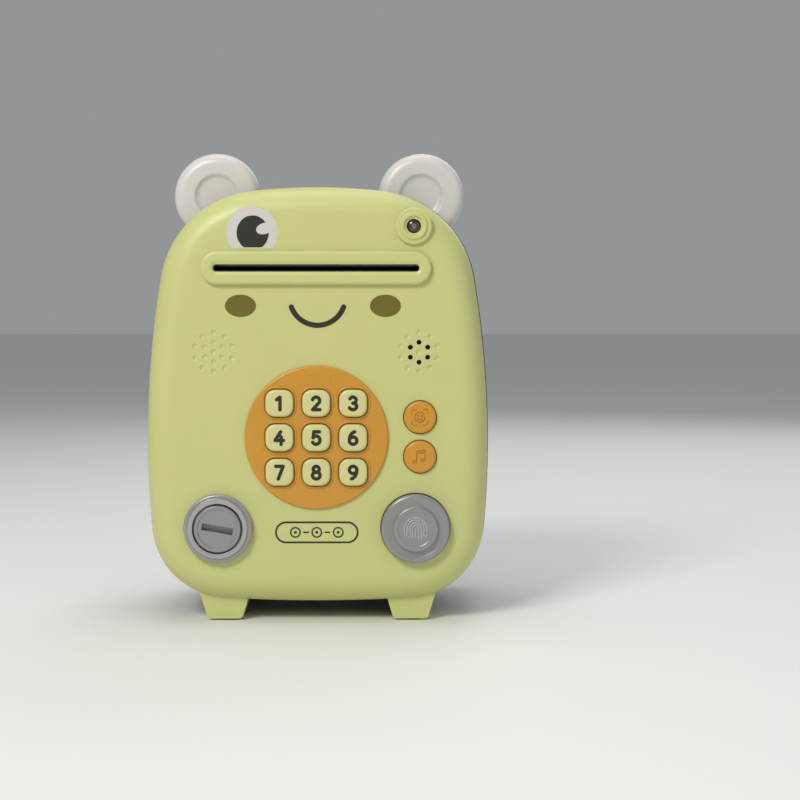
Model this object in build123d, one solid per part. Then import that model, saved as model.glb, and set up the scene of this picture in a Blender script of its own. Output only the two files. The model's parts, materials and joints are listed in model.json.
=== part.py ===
from build123d import *
import math
import os

# Toy cash-machine savings bank with an animal face. Millimetres.
# Frame: +Z up, the face looks along -Y, +X is on the right of someone facing it.
# The origin is on the floor under the middle of the overall box.
# A depth is a distance behind the flat of the face, so what stands out of the face is negative.

# Body: the front shell is the door, the rear case is the strong box.
shell_width = 138.0
shell_height = 168.0
door_depth = 20.0
case_depth = 68.0
foot_height = 7.5
widest_above_bottom = 64.5
side_radius = 400.0
crown_radius = 230.0
belly_radius = 600.0
top_corner_radius = 42.0
bottom_corner_radius = 31.0
face_edge_radius = 10.5
back_edge_radius = 14.0
shell_wall = 2.2
case_wall = 2.4
case_lip = 1.0
seam_gap = 0.7
lip_chamfer = 1.0
shell_rear_chamfer = 1.2

# Feet
foot_spread = 75.5
foot_width = 15.0
foot_flare = 2.0
foot_setback = 6.5
foot_root = 9.0
foot_corner_radius = 1.8
door_foot_lift = 0.6
case_foot_back_inset = 12.0

# Ears
ear_spacing = 84.6
ear_radius = 17.8
ear_thickness = 11.0
ear_below_top = 2.3
ear_behind_seam = 3.8
ear_rounding = 4.5
ear_dish_radius = 9.2
ear_dish_depth = 1.6
ear_peg_radius = 4.0
ear_boss_radius = 7.0
ear_boss_below = 13.4
ear_screw_length = 6.0
ear_screw_head_radius = 5.4
ear_screw_head_height = 1.6

# Note slot and its raised frame
slot_below_top = 33.0
slot_length = 82.2
slot_height = 2.85
bezel_length = 92.0
bezel_height = 13.4
bezel_rise = 2.4
bezel_collar_length = 87.0
bezel_collar_height = 7.0
bezel_rounding = 1.3

# Face-scan sensor
sensor_from_side = 30.1
sensor_below_top = 16.4
sensor_radius = 7.4
sensor_rise = 1.6
sensor_step_radius = 5.3
sensor_step_rise = 0.8
sensor_groove_radius = 3.9
sensor_groove_depth = 0.9
sensor_barrel_radius = 4.6
sensor_barrel_length = 2.5
lens_radius = 2.75
lens_recess = 1.2
lens_flange = 0.9
lens_flange_thickness = 1.5

# Sound holes, one inner ring of six and one outer ring of ten round a centre
sound_from_side = 28.0
sound_below_top = 66.5
sound_inner_ring = 4.0
sound_outer_ring = 7.7
sound_hole_radius = 1.0
dimple_radius = 1.15
dimple_depth = 0.5

# Keypad: disc, nine keys, mat and board
keypad_above_bottom = 67.4
keypad_radius = 28.8
keypad_rise = 1.3
keypad_rounding = 0.9
keypad_peg_inset = 3.4
keypad_peg_radius = 1.2
keypad_peg_length = 0.6
key_pitch_across = 14.7
key_pitch_up = 13.8
key_width = 11.2
key_height = 10.8
key_corner = 3.8
key_gap = 0.3
key_rise = 2.0
key_rounding = 1.1
key_flange = 0.8
key_flange_thickness = 1.0
key_stem_radius = 2.0
key_stem_length = 1.2
key_travel = 1.2
mat_thickness = 1.0
board_thickness = 1.6
keypad_board_width = 58.0
keypad_board_height = 54.0
board_screw_inset = 3.0

# Two round buttons
button_from_side = 27.6
face_button_above_bottom = 75.5
music_button_above_bottom = 59.7
button_radius = 6.5
button_gap = 0.35
button_rise = 1.7
button_flange = 0.75
button_travel = 1.0
button_board_width = 15.5
switch_width = 6.0
switch_stem_radius = 1.6
button_board_height = 43.0

# Key lock and its round knob
lock_from_side = 29.5
knob_above_bottom = 31.0
knob_radius = 13.75
lock_ring_rise = 4.0
lock_ring_rounding = 1.4
lock_mouth_radius = 10.0
lock_mouth_floor = 0.8
lock_head_radius = 9.35
lock_head_rise = 4.4
lock_barrel_radius = 6.95
lock_collar_radius = 11.5
lock_sleeve_radius = 9.5
lock_sleeve_back = 20.0
key_slot_length = 12.6
key_slot_width = 2.75
key_slot_depth = 4.0
key_slot_tilt = 10.0
lock_nut_radius = 15.0
lock_nut_thickness = 3.0
lock_thread_beyond_nut = 1.5
lock_nut_sides = 8
lock_head_rounding = 0.49

# Fingerprint knob, a large push button
fingerprint_from_side = 29.4
fingerprint_rise = 4.0
fingerprint_step_radius = 9.05
fingerprint_step_rise = 1.6
fingerprint_gap = 0.4
fingerprint_flange = 1.5
fingerprint_travel = 1.2
fingerprint_board_height = 12.0

# Latch: crank pin, sliding bolt, solenoid
crank_radius = 3.6
crank_pin_radius = 1.2
cam_radius = 6.5
cam_thickness = 3.0
bolt_height = 8.0
bolt_thickness = 3.0
bolt_wall_clearance = 0.5
keeper_engagement = 3.7
bolt_bevel = 1.6
cam_gap = 0.3
cam_to_bolt_gap = 1.3
keeper_margin = 3.0
keeper_behind_seam = 0.8
yoke_width = 10.4
yoke_height = 16.4
yoke_clearance = 0.2
guide_length = 3.9
guide_height = 16.0
guide_gap = 0.35
bolt_lug_length = 2.0
solenoid_length = 17.0
solenoid_height = 12.0
solenoid_depth = 8.0
solenoid_plate = 1.2
solenoid_coil_radius = 3.4
plunger_radius = 2.0
plunger_end_gap = 1.5
spring_length = 7.0
spring_turns = 5
spring_wire = 0.6
spring_radial_gap = 0.3
cam_screw_head_radius = 1.7
cam_screw_head_height = 1.2
cam_screw_length = 8.0

# Inner cover, the tray that closes the back of the door
cover_thickness = 1.6
cover_flange_thickness = 1.8
cover_flange_depth = 16.8
cover_edge_clearance = 0.4
cover_hat_inset = 9.5
cover_corner_radius = 6.0
cover_below_ear_screws = 1.0
note_exit_height = 3.6
note_exit_margin = 1.5
cover_side_screw_inset = 15.0
cover_upper_screw_inset = 15.5
cover_upper_screw_above_slot = 3.5
cover_top_screw_x = 22.0
cover_top_screw_below_top = 13.5
cover_low_screw_x = 18.0
cover_low_screw_above_bottom = 14.5

# Hinge: two goose-neck arms on pins inside the case
hinge_back_from_seam = 14.0
hinge_pin_radius = 1.2
hinge_eye_radius = 2.8
hinge_wall_clearance = 0.3
arm_height = 8.0
arm_lower_above_bottom = 34.5
arm_upper_above_bottom = 100.5
arm_bar_front = 1.2
arm_leg_thickness = 3.6
arm_foot_length = 22.0
arm_foot_thickness = 2.8
arm_screw_inset = 5.0
arm_boss_radius = 2.6
arm_boss_length = 6.0
arm_swing_clearance = 0.7
lug_thickness = 3.0
lug_gap = 0.3

# Batteries
cell_radius = 7.2
cell_length = 49.5
cell_nub_radius = 2.6
cell_nub_length = 1.0
cell_gap = 0.8
cell_seat_gap = 0.3
cell_cover_gap = 0.9
cell_end_play = 0.4
cell_edge_rounding = 0.6
cell_spring_length = 4.6
contact_thickness = 0.5
contact_width = 10.0
contact_depth = 11.0
battery_spring_radius = 3.2
battery_spring_wire = 0.6
battery_spring_turns = 3
bay_floor_thickness = 1.5
bay_wall = 2.6
bay_ledge = 1.2
bay_height_play = 0.6
bay_behind_board = 4.4
battery_above_keypad = 0.8
battery_cover_corner = 3.0
battery_tab_width = 12.0
battery_tab_length = 7.4
battery_tongue_width = 8.0
battery_tongue_length = 1.3
battery_tongue_thickness = 1.3

# Note feeder
roller_radius = 6.0
pinch_radius = 4.0
roller_length = 12.0
roller_spread = 44.0
roller_note_gap = 0.15
feed_axis_depth = 14.0
drive_shaft_radius = 1.5
pinch_shaft_radius = 1.2
gear_module = 0.8
gear_teeth = 26
pinion_teeth = 10
gear_width = 4.0
gear_backlash = 0.12
pressure_angle = 25.0
frame_plate = 1.5
note_passage = 1.6
guide_thickness = 1.1
motor_length = 25.0
motor_radius = 10.0
motor_thickness = 15.0
motor_shaft_radius = 1.0
motor_shaft_inside = 5.0
motor_boss_radius = 3.0
frame_above_slot = 9.0
frame_below_axle = 7.0
frame_below_motor = 9.5
frame_tab_width = 7.0
roller_window_margin = 0.6
note_side_clearance = 0.9
frame_end_gap = 0.8
frame_tab_root = 2.0
tab_front = 7.5
feeder_screw_x = 28.0
feeder_screw_above_slot = 13.0
gear_addendum = 0.9
gear_dedendum = 1.2
flank_points = 6

# Speaker
speaker_radius = 12.0
speaker_depth = 6.4
speaker_rim = 1.2
speaker_magnet_radius = 7.0
speaker_wall_thickness = 1.4
speaker_wall_height = 3.0

# Main board and the flat cable to the keypad board
main_board_height = 20.0
main_board_left = -14.0
main_board_front = 9.8
cable_width = 14.0
cable_thickness = 0.4
cable_lap = 5.0
cable_straight = 1.5
cable_end = 3.5
main_board_below_rollers = 0.7
main_board_beside_speaker = 3.0
chip_width = 10.0
chip_height = 1.6
socket_from_chip = 8.0
socket_length = 6.0
socket_width = 5.0
socket_height = 4.0
socket_above_chip = 2.0
can_radius = 2.0
can_height = 5.0
cans_from_chip = (10.0, 15.0)
cans_below_chip = 4.0

# Coin slot in the roof of the case
coin_slot_length = 32.0
coin_slot_width = 3.4
coin_slot_behind_seam = 34.0

# Fits
slide_clearance = 0.15
running_clearance = 0.05
seat_clearance = 0.1
gear_side_gap = 0.4

# Screws and the posts they go into
screw_radius = 1.2
screw_head_radius = 2.3
screw_head_height = 1.3
screw_bite = 3.5
pilot_depth = 3.8
pilot_clearance = 0.1
screw_cross_share = 1.3
screw_cross_width = 0.5
boss_radius = 3.0
post_radius = 2.5
slim_post_radius = 2.0
well_wall = 1.2
pin_press = 0.02

# A post starts this far inside the wall it grows from, and a cutter runs this far past a face
weld = 0.5
past = 1.0

# Derived places
screw_bore = screw_radius + pilot_clearance
shell_bottom = foot_height
shell_top = shell_bottom + shell_height
widest_z = shell_bottom + widest_above_bottom
case_front = door_depth + seam_gap
total_depth = case_front + case_depth
front_reach = max(fingerprint_rise + fingerprint_step_rise, lock_head_rise, key_rise + keypad_rise)
face_y = -(total_depth - front_reach) / 2

slot_z = shell_top - slot_below_top
sensor_x = shell_width / 2 - sensor_from_side
sensor_z = shell_top - sensor_below_top
sound_x = shell_width / 2 - sound_from_side
sound_z = shell_top - sound_below_top
keypad_z = shell_bottom + keypad_above_bottom
button_x = shell_width / 2 - button_from_side
face_button_z = shell_bottom + face_button_above_bottom
music_button_z = shell_bottom + music_button_above_bottom
lock_x = lock_from_side - shell_width / 2
fingerprint_x = shell_width / 2 - fingerprint_from_side
knob_z = shell_bottom + knob_above_bottom

flange_front = shell_wall + seat_clearance
stem_back = flange_front + key_flange_thickness + key_stem_length
mat_front = stem_back + key_travel + seat_clearance
board_front = mat_front + mat_thickness
board_back = board_front + board_thickness
fingerprint_board_front = board_back

cam_front = lock_sleeve_back + cam_gap
cam_back = cam_front + cam_thickness
cam_screw_seat = cam_back - cam_screw_head_height - seat_clearance
bolt_front = cam_back + cam_to_bolt_gap
bolt_back = bolt_front + bolt_thickness
bay_floor = board_back + bay_behind_board
cell_depth = bay_floor + cell_seat_gap + cell_radius
cover_inside = cell_depth + cell_radius + cell_cover_gap
cover_back = cover_inside + cover_thickness

crank_rest_angle = math.radians(45)
bolt_travel = 2 * crank_radius * math.cos(crank_rest_angle)


def half_width(z):
    """Half the width of the front shell at a height between its corners."""
    return shell_width / 2 - side_radius + math.sqrt(side_radius**2 - (z - widest_z) ** 2)


lower_arm_z = shell_bottom + arm_lower_above_bottom
upper_arm_z = shell_bottom + arm_upper_above_bottom
narrowest_at_arms = min(half_width(lower_arm_z - arm_height / 2), half_width(upper_arm_z + arm_height / 2))
case_inside_at_arms = narrowest_at_arms + case_lip - case_wall
hinge_x = case_inside_at_arms - hinge_wall_clearance - hinge_eye_radius
hinge_depth = case_front + hinge_back_from_seam
wall_sweep = math.hypot(half_width(lower_arm_z) + case_lip - hinge_x - lip_chamfer, hinge_back_from_seam)
arm_leg_x = hinge_x - wall_sweep - arm_swing_clearance
cover_right_x = arm_leg_x - seat_clearance

bolt_out_x = -(half_width(knob_z) + case_lip - case_wall - bolt_wall_clearance)
bolt_tip_x = bolt_out_x + bolt_travel
keeper_x = bolt_out_x + keeper_engagement
yoke_x = lock_x + crank_radius * math.cos(crank_rest_angle)
inner_guide_x = yoke_x + yoke_width / 2 + guide_gap
bolt_end_x = inner_guide_x + guide_length + guide_gap + bolt_travel + bolt_lug_length
solenoid_x = bolt_end_x + spring_length
plunger_depth = cover_inside - solenoid_depth / 2

cover_screws_at = [
    (side * x, z)
    for x, z in (
        (shell_width / 2 - cover_side_screw_inset, keypad_z),
        (shell_width / 2 - cover_upper_screw_inset, slot_z + cover_upper_screw_above_slot),
        (cover_top_screw_x, shell_top - cover_top_screw_below_top),
        (cover_low_screw_x, shell_bottom + cover_low_screw_above_bottom),
    )
    for side in (-1, 1)
]
keypad_screw_x = keypad_board_width / 2 - board_screw_inset
keypad_screw_rise = keypad_board_height / 2 - board_screw_inset
keypad_screws_at = [
    (across * keypad_screw_x, keypad_z + up * keypad_screw_rise) for across in (-1, 1) for up in (-1, 1)
]
round_buttons_at = [(button_x, face_button_z), (button_x, music_button_z)]
button_board_z = (face_button_z + music_button_z) / 2
button_screws_at = [
    (button_x, button_board_z + up * (button_board_height / 2 - board_screw_inset)) for up in (-1, 1)
]
fingerprint_screw_reach = knob_radius + fingerprint_flange + post_radius + 2 * slide_clearance
fingerprint_screws_at = [(fingerprint_x + across * fingerprint_screw_reach, knob_z) for across in (-1, 1)]

drive_z = slot_z - roller_note_gap - roller_radius
pinch_z = slot_z + roller_note_gap + pinch_radius
gear_centres = gear_module * (gear_teeth + pinion_teeth) / 2
motor_z = drive_z - gear_centres
frame_inner_x = slot_length / 2 + note_side_clearance
frame_outer_x = frame_inner_x + frame_plate
gear_left_x = -(frame_outer_x + gear_side_gap + gear_width)
frame_front = shell_wall + frame_end_gap
frame_back = cover_inside - frame_end_gap
feeder_screws_at = [(side * feeder_screw_x, slot_z + feeder_screw_above_slot) for side in (-1, 1)]

main_board_top = drive_z - roller_radius - main_board_below_rollers
main_board_bottom = main_board_top - main_board_height
main_board_right = sound_x - speaker_radius - main_board_beside_speaker
main_screws_at = [
    (main_board_left + board_screw_inset, main_board_bottom + board_screw_inset),
    (main_board_right - board_screw_inset, main_board_top - board_screw_inset),
]

cell_pitch = 2 * cell_radius + cell_gap
cell_ends = cell_nub_length + 2 * contact_thickness + cell_spring_length + cell_end_play
bay_length = cell_length + cell_ends
bay_height = 3 * cell_pitch + bay_height_play
battery_z = keypad_z + battery_above_keypad
battery_cover_length = bay_length + 2 * bay_ledge
battery_cover_height = bay_height + 2 * bay_ledge
battery_tab_z = battery_z + battery_cover_height / 2 + battery_tab_length / 2

ear_z = shell_top - ear_below_top
ear_front = case_front + ear_behind_seam
ear_middle = ear_front + ear_thickness / 2
ear_seat_z = ear_z - ear_boss_below
cover_top_z = ear_seat_z - ear_screw_head_height - cover_below_ear_screws


# Small shape helpers ------------------------------------------------------------------


def slab(sketch, front, back):
    """A sketch seen from the front (X right, Y up) made solid between two depths."""
    return extrude(Plane.XZ.offset(-(face_y + back)) * sketch, amount=back - front)


def round_slab(radius, x, z, front, back):
    """A round bar along the depth."""
    return slab(Pos(x, z) * Circle(radius), front, back)


def block(x_low, x_high, front, back, z_low, z_high):
    """A plain box given by its six faces."""
    sketch = Pos((x_low + x_high) / 2, (z_low + z_high) / 2) * Rectangle(x_high - x_low, z_high - z_low)
    return slab(sketch, front, back)


def rod_across(radius, x_low, x_high, depth, z):
    """A round bar along X."""
    middle = Pos((x_low + x_high) / 2, face_y + depth, z)
    return middle * Rot(0, 90, 0) * Cylinder(radius, x_high - x_low)


def rod_upright(radius, x, depth, z_low, z_high):
    """A round bar along Z."""
    return Pos(x, face_y + depth, (z_low + z_high) / 2) * Cylinder(radius, z_high - z_low)


def body_outline(grow=0.0):
    """Front view of the body: four bowed sides with round corners, all moved outwards by grow."""
    right_side = Pos(shell_width / 2 - side_radius, widest_z) * Circle(side_radius + grow)
    left_side = Pos(side_radius - shell_width / 2, widest_z) * Circle(side_radius + grow)
    crown = Pos(0, shell_top - crown_radius) * Circle(crown_radius + grow)
    belly = Pos(0, shell_bottom + belly_radius) * Circle(belly_radius + grow)
    sharp = right_side & left_side & crown & belly
    topped = fillet(sharp.vertices().sort_by(Axis.Y)[-2:], top_corner_radius + grow)
    return fillet(topped.vertices().sort_by(Axis.Y)[:2], bottom_corner_radius + grow)


def flared_mouth(grow, flare, depth):
    """A wedge round the body outline that widens by flare on its way back to a depth."""
    near = Plane.XZ.offset(-(face_y + depth - flare)) * body_outline(grow)
    far = Plane.XZ.offset(-(face_y + depth)) * body_outline(grow + flare)
    return loft([near, far], ruled=True)


def face_end(solid):
    """The edges round the end of a solid that is nearest the front."""
    return solid.faces().sort_by(Axis.Y)[0].edges()


def back_end(solid):
    """The edges round the end of a solid that is nearest the back."""
    return solid.faces().sort_by(Axis.Y)[-1].edges()


def ring_of_holes(x, z, count, ring_radius):
    """Centres of holes evenly spaced on a ring, the first at the top."""
    angles = [math.radians(90 + 360 * step / count) for step in range(count)]
    return [(x + ring_radius * math.cos(a), z + ring_radius * math.sin(a)) for a in angles]


def dimple(x, z):
    """A shallow spherical dent in the face."""
    ball_radius = (dimple_radius**2 + dimple_depth**2) / (2 * dimple_depth)
    return Pos(x, face_y + dimple_depth - ball_radius, z) * Sphere(ball_radius)


def posts(places, radius, front, back):
    """Like bars along the depth, at several places."""
    return [round_slab(radius, x, z, front, back) for x, z in places]


def pan_screw(length, head_radius=screw_head_radius, head_height=screw_head_height):
    """A pan-head screw along Z, head up, with the head's underside at the origin."""
    head = Pos(0, 0, head_height / 2) * Cylinder(head_radius, head_height)
    head = fillet(head.edges().sort_by(Axis.Z)[-1], head_height / 2)
    shank = Pos(0, 0, -length / 2) * Cylinder(screw_radius, length)
    cross_length = head_radius * screw_cross_share
    cross = Box(cross_length, screw_cross_width, head_height)
    cross += Box(screw_cross_width, cross_length, head_height)
    return head + shank - Pos(0, 0, head_height) * cross


def screws_from_behind(places, seat_depth, length):
    """Pan-head screws driven forwards, with their heads seated at a depth."""
    turned = Rot(-90, 0, 0) * pan_screw(length)
    return [Pos(x, face_y + seat_depth, z) * turned for x, z in places]


def coil(radius, wire, turns, length):
    """A round-wire compression spring along Z, starting at the origin."""
    pitch = (length - wire) / turns
    path = Helix(pitch, pitch * turns, radius)
    start = Plane(origin=path @ 0, z_dir=path % 0)
    return Pos(0, 0, wire / 2) * sweep(start * Circle(wire / 2), path=path)


def gear_outline(teeth):
    """An involute spur gear, with each tooth thinned by the backlash."""
    pitch_radius = gear_module * teeth / 2
    base_radius = pitch_radius * math.cos(math.radians(pressure_angle))
    tip_radius = pitch_radius + gear_addendum * gear_module
    root_radius = pitch_radius - gear_dedendum * gear_module
    involute_at_pitch = math.tan(math.radians(pressure_angle)) - math.radians(pressure_angle)
    half_tooth = math.pi / (2 * teeth) - gear_backlash / (2 * pitch_radius) + involute_at_pitch
    low = max(base_radius, root_radius)
    flank = [(root_radius, half_tooth)] if base_radius > root_radius else []
    for step in range(flank_points):
        radius = low + (tip_radius - low) * step / (flank_points - 1)
        roll = math.acos(base_radius / radius)
        flank.append((radius, half_tooth - (math.tan(roll) - roll)))
    corners = []
    for tooth in range(teeth):
        middle = 2 * math.pi * tooth / teeth
        tooth_side = [(radius, middle - angle) for radius, angle in flank]
        other_side = [(radius, middle + angle) for radius, angle in reversed(flank)]
        corners += tooth_side + other_side
    points = [(radius * math.cos(angle), radius * math.sin(angle)) for radius, angle in corners]
    return make_face(Polyline(*points, close=True))


def gear_across(teeth, x_low, z, bore_radius, turn):
    """A spur gear on an axis along X at the feeder's depth."""
    blank = extrude(Rot(0, 0, turn) * gear_outline(teeth) - Circle(bore_radius), amount=gear_width)
    return Pos(x_low, face_y + feed_axis_depth, z) * Rot(0, 90, 0) * blank


# Body -----------------------------------------------------------------------------------


def foot(side, front, back, bottom):
    """One foot as a bar that narrows downwards, reaching up into the body."""
    top = shell_bottom + foot_root
    inner = foot_spread / 2 - foot_width / 2
    outer = foot_spread / 2 + foot_width / 2
    flare = foot_flare * (top - bottom) / foot_height
    corners = [(inner, bottom), (outer, bottom), (outer + flare, top), (inner - flare, top)]
    sketch = make_face(Polyline(*[(side * x, z) for x, z in corners], close=True))
    sketch = fillet(sketch.vertices().sort_by(Axis.Y)[:2], foot_corner_radius)
    return slab(sketch, front, back)


def key_places():
    """Centres of the nine keys, left to right and top to bottom."""
    return [
        (column * key_pitch_across, keypad_z - row * key_pitch_up)
        for row in (-1, 0, 1)
        for column in (-1, 0, 1)
    ]


def key_holes(front, back):
    """The nine key openings as solid bars."""
    sketch = RectangleRounded(key_width + 2 * key_gap, key_height + 2 * key_gap, key_corner + key_gap)
    return [slab(Pos(x, z) * sketch, front, back) for x, z in key_places()]


def keypad_peg_places():
    """Centres of the four pegs that locate the keypad disc, just inside its rim."""
    reach = keypad_radius - keypad_peg_inset
    return [(reach, keypad_z), (-reach, keypad_z), (0, keypad_z + reach), (0, keypad_z - reach)]


def shell_openings():
    """Everything that passes through the face of the front shell."""
    back = shell_wall + past
    collar_length = bezel_collar_length + 2 * seat_clearance
    collar_height = bezel_collar_height + 2 * seat_clearance
    openings = [slab(Pos(0, slot_z) * SlotOverall(collar_length, collar_height), -past, back)]
    openings += key_holes(-past, back)
    sensor_back = shell_wall + sensor_barrel_length + past
    openings += posts([(sensor_x, sensor_z)], sensor_barrel_radius + seat_clearance, -past, sensor_back)
    openings += posts(round_buttons_at, button_radius + button_gap, -past, back)
    openings += posts([(lock_x, knob_z)], lock_collar_radius + seat_clearance, -past, back)
    openings += posts([(fingerprint_x, knob_z)], knob_radius + fingerprint_gap, -past, back)
    openings += posts(ring_of_holes(sound_x, sound_z, 6, sound_inner_ring), sound_hole_radius, -past, back)
    openings += posts(keypad_peg_places(), keypad_peg_radius + seat_clearance, -past, back)
    return openings


def shell_dimples():
    """Blind dents of the two sound patterns: all of the left one, the outer ring on the right."""
    places = [(-sound_x, sound_z), (sound_x, sound_z)]
    places += ring_of_holes(-sound_x, sound_z, 6, sound_inner_ring)
    for side in (-1, 1):
        places += ring_of_holes(side * sound_x, sound_z, 10, sound_outer_ring)
    return [dimple(x, z) for x, z in places]


def shell_blank():
    """The outside of the front shell without its feet."""
    return fillet(face_end(slab(body_outline(), 0, door_depth)), face_edge_radius)


def front_shell():
    """The door: a shallow rounded shell with two front feet and moulded screw posts."""
    blank = shell_blank()
    for side in (-1, 1):
        blank += foot(side, foot_setback, door_depth, door_foot_lift)
    hollow = slab(body_outline(-shell_wall), shell_wall, door_depth + past)
    hollow = fillet(face_end(hollow), face_edge_radius - shell_wall)
    shell = blank - hollow - flared_mouth(-shell_wall, shell_rear_chamfer, door_depth)
    shell = shell - shell_openings() - shell_dimples()
    post_sets = [
        (cover_screws_at, boss_radius, cover_flange_depth),
        (keypad_screws_at, post_radius, board_front),
        (button_screws_at, slim_post_radius, board_front),
        (fingerprint_screws_at, post_radius, fingerprint_board_front),
        (feeder_screws_at, post_radius, tab_front),
        (main_screws_at, post_radius, main_board_front),
    ]
    for places, radius, post_end in post_sets:
        shell += posts(places, radius, shell_wall - weld, post_end)
        shell -= posts(places, screw_bore, post_end - pilot_depth, post_end + past)
    ring_radius = speaker_radius + seat_clearance
    wall_radius = ring_radius + speaker_wall_thickness
    wall_back = shell_wall + speaker_wall_height
    speaker_wall = round_slab(wall_radius, sound_x, sound_z, shell_wall - weld, wall_back)
    speaker_wall -= round_slab(ring_radius, sound_x, sound_z, 0, wall_back + past)
    return shell + speaker_wall


def case_blank():
    """The outside of the rear case without its feet."""
    blank = slab(body_outline(case_lip), case_front, total_depth)
    blank = fillet(back_end(blank), back_edge_radius)
    return chamfer(face_end(blank), lip_chamfer)


def rear_case():
    """The strong box: a deep rounded shell, open at the front, with its own two feet."""
    blank = case_blank()
    for side in (-1, 1):
        blank += foot(side, case_front, total_depth - case_foot_back_inset, 0)
    hollow = slab(body_outline(case_lip - case_wall), case_front - past, total_depth - case_wall)
    hollow = fillet(back_end(hollow), back_edge_radius - case_wall)
    case = blank - hollow
    for side in (-1, 1):
        x = side * ear_spacing / 2
        case += rod_upright(ear_boss_radius, x, ear_middle, ear_seat_z, ear_z) & case_blank()
        case -= rod_upright(ear_peg_radius + seat_clearance, x, ear_middle, ear_seat_z - past, ear_z)
    coin_slot = Box(coin_slot_length, coin_slot_width, 6 * case_wall)
    case -= Pos(0, face_y + case_front + coin_slot_behind_seam, shell_top) * coin_slot
    case += keeper()
    case += [hinge_lugs(z) for z in (lower_arm_z, upper_arm_z)]
    return case


def keeper():
    """The moulded rib on the left wall that the bolt slides behind."""
    wall_x = -(half_width(knob_z) + case_lip - case_wall / 2)
    half_rib = bolt_height / 2 + keeper_margin
    rib_front = case_front + keeper_behind_seam
    rib_back = bolt_front - 2 * slide_clearance
    return block(wall_x, keeper_x, rib_front, rib_back, knob_z - half_rib, knob_z + half_rib)


def hinge_lugs(z):
    """Two lugs on the right wall, one above and one below a hinge arm, bored for its pin."""
    low = z - arm_height / 2 - lug_gap
    high = z + arm_height / 2 + lug_gap
    narrowest = min(half_width(low - lug_thickness), half_width(high + lug_thickness))
    wall_x = narrowest + case_lip - case_wall / 2
    front = hinge_depth - hinge_eye_radius
    back = hinge_depth + hinge_eye_radius
    lugs = block(hinge_x, wall_x, front, back, low - lug_thickness, high + lug_thickness)
    lugs += rod_upright(hinge_eye_radius, hinge_x, hinge_depth, low - lug_thickness, high + lug_thickness)
    lugs -= block(hinge_x - 2 * hinge_eye_radius, wall_x + past, front - past, back + past, low, high)
    bore_low = low - lug_thickness - past
    return lugs - rod_upright(
        hinge_pin_radius + pin_press, hinge_x, hinge_depth, bore_low, high + lug_thickness + past
    )


def ear(side):
    """A round ear with a soft rim and a dished front, cut to sit on the case, with a peg below."""
    x = side * ear_spacing / 2
    disc = round_slab(ear_radius, x, ear_z, ear_front, ear_front + ear_thickness)
    disc = fillet(face_end(disc) + back_end(disc), ear_rounding)
    dish = round_slab(ear_dish_radius, x, ear_z, ear_front - past, ear_front + ear_dish_depth)
    disc -= fillet(back_end(dish), ear_dish_depth / 2)
    seated = (disc - case_blank()).solids().sort_by(Axis.Z)[-1]
    peg = rod_upright(ear_peg_radius, x, ear_middle, ear_seat_z + 2 * slide_clearance, ear_z - ear_rounding)
    pilot_top = ear_seat_z + ear_screw_length + past
    return seated + peg - rod_upright(screw_bore, x, ear_middle, ear_seat_z - past, pilot_top)


def ear_screws():
    """Two broad-headed screws, driven upwards into the ear pegs from inside the case."""
    screw = Rot(180, 0, 0) * pan_screw(ear_screw_length, ear_screw_head_radius, ear_screw_head_height)
    return [Pos(side * ear_spacing / 2, face_y + ear_middle, ear_seat_z) * screw for side in (-1, 1)]


# Hinge ----------------------------------------------------------------------------------


def hinge_pins():
    """Two steel pins, one through each pair of lugs."""
    reach = arm_height / 2 + lug_gap + lug_thickness
    heights = (lower_arm_z, upper_arm_z)
    return [rod_upright(hinge_pin_radius, hinge_x, hinge_depth, z - reach, z + reach) for z in heights]


def arm_screw_places(z):
    """The two screws through a hinge arm's foot."""
    leg_left = arm_leg_x - arm_leg_thickness
    return [(leg_left - arm_screw_inset, z), (leg_left - arm_foot_length + arm_screw_inset, z)]


def hinge_arm(z):
    """A goose-neck arm: an eye on the pin, a bar, a leg round the case wall and a screwed foot."""
    leg_left = arm_leg_x - arm_leg_thickness
    foot_left = leg_left - arm_foot_length
    bar_front = hinge_depth - arm_bar_front
    bar_back = hinge_depth + hinge_eye_radius
    foot_back = cover_back + arm_foot_thickness
    low, high = z - arm_height / 2, z + arm_height / 2
    arm = rod_upright(hinge_eye_radius, hinge_x, hinge_depth, low, high)
    arm += block(leg_left, hinge_x, bar_front, bar_back, low, high)
    arm += block(leg_left, arm_leg_x, cover_back, bar_back, low, high)
    arm += block(foot_left, arm_leg_x, cover_back, foot_back, low, high)
    arm -= rod_upright(hinge_pin_radius + running_clearance, hinge_x, hinge_depth, low - past, high + past)
    return arm - posts(arm_screw_places(z), screw_bore, cover_back - past, foot_back + past)


def arm_screws():
    """The four screws that hold the hinge arms on the inner cover."""
    places = arm_screw_places(lower_arm_z) + arm_screw_places(upper_arm_z)
    length = arm_foot_thickness + cover_thickness + screw_bite
    return screws_from_behind(places, cover_back + arm_foot_thickness, length)


# Things on the face -----------------------------------------------------------------------


def slot_bezel():
    """The raised round-ended frame of the note slot, with a collar through the shell."""
    frame = slab(Pos(0, slot_z) * SlotOverall(bezel_length, bezel_height), -bezel_rise, 0)
    frame = fillet(face_end(frame), bezel_rounding)
    frame += slab(Pos(0, slot_z) * SlotOverall(bezel_collar_length, bezel_collar_height), 0, shell_wall)
    opening = Pos(0, slot_z) * SlotOverall(slot_length, slot_height)
    return frame - slab(opening, -bezel_rise - past, shell_wall + past)


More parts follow.
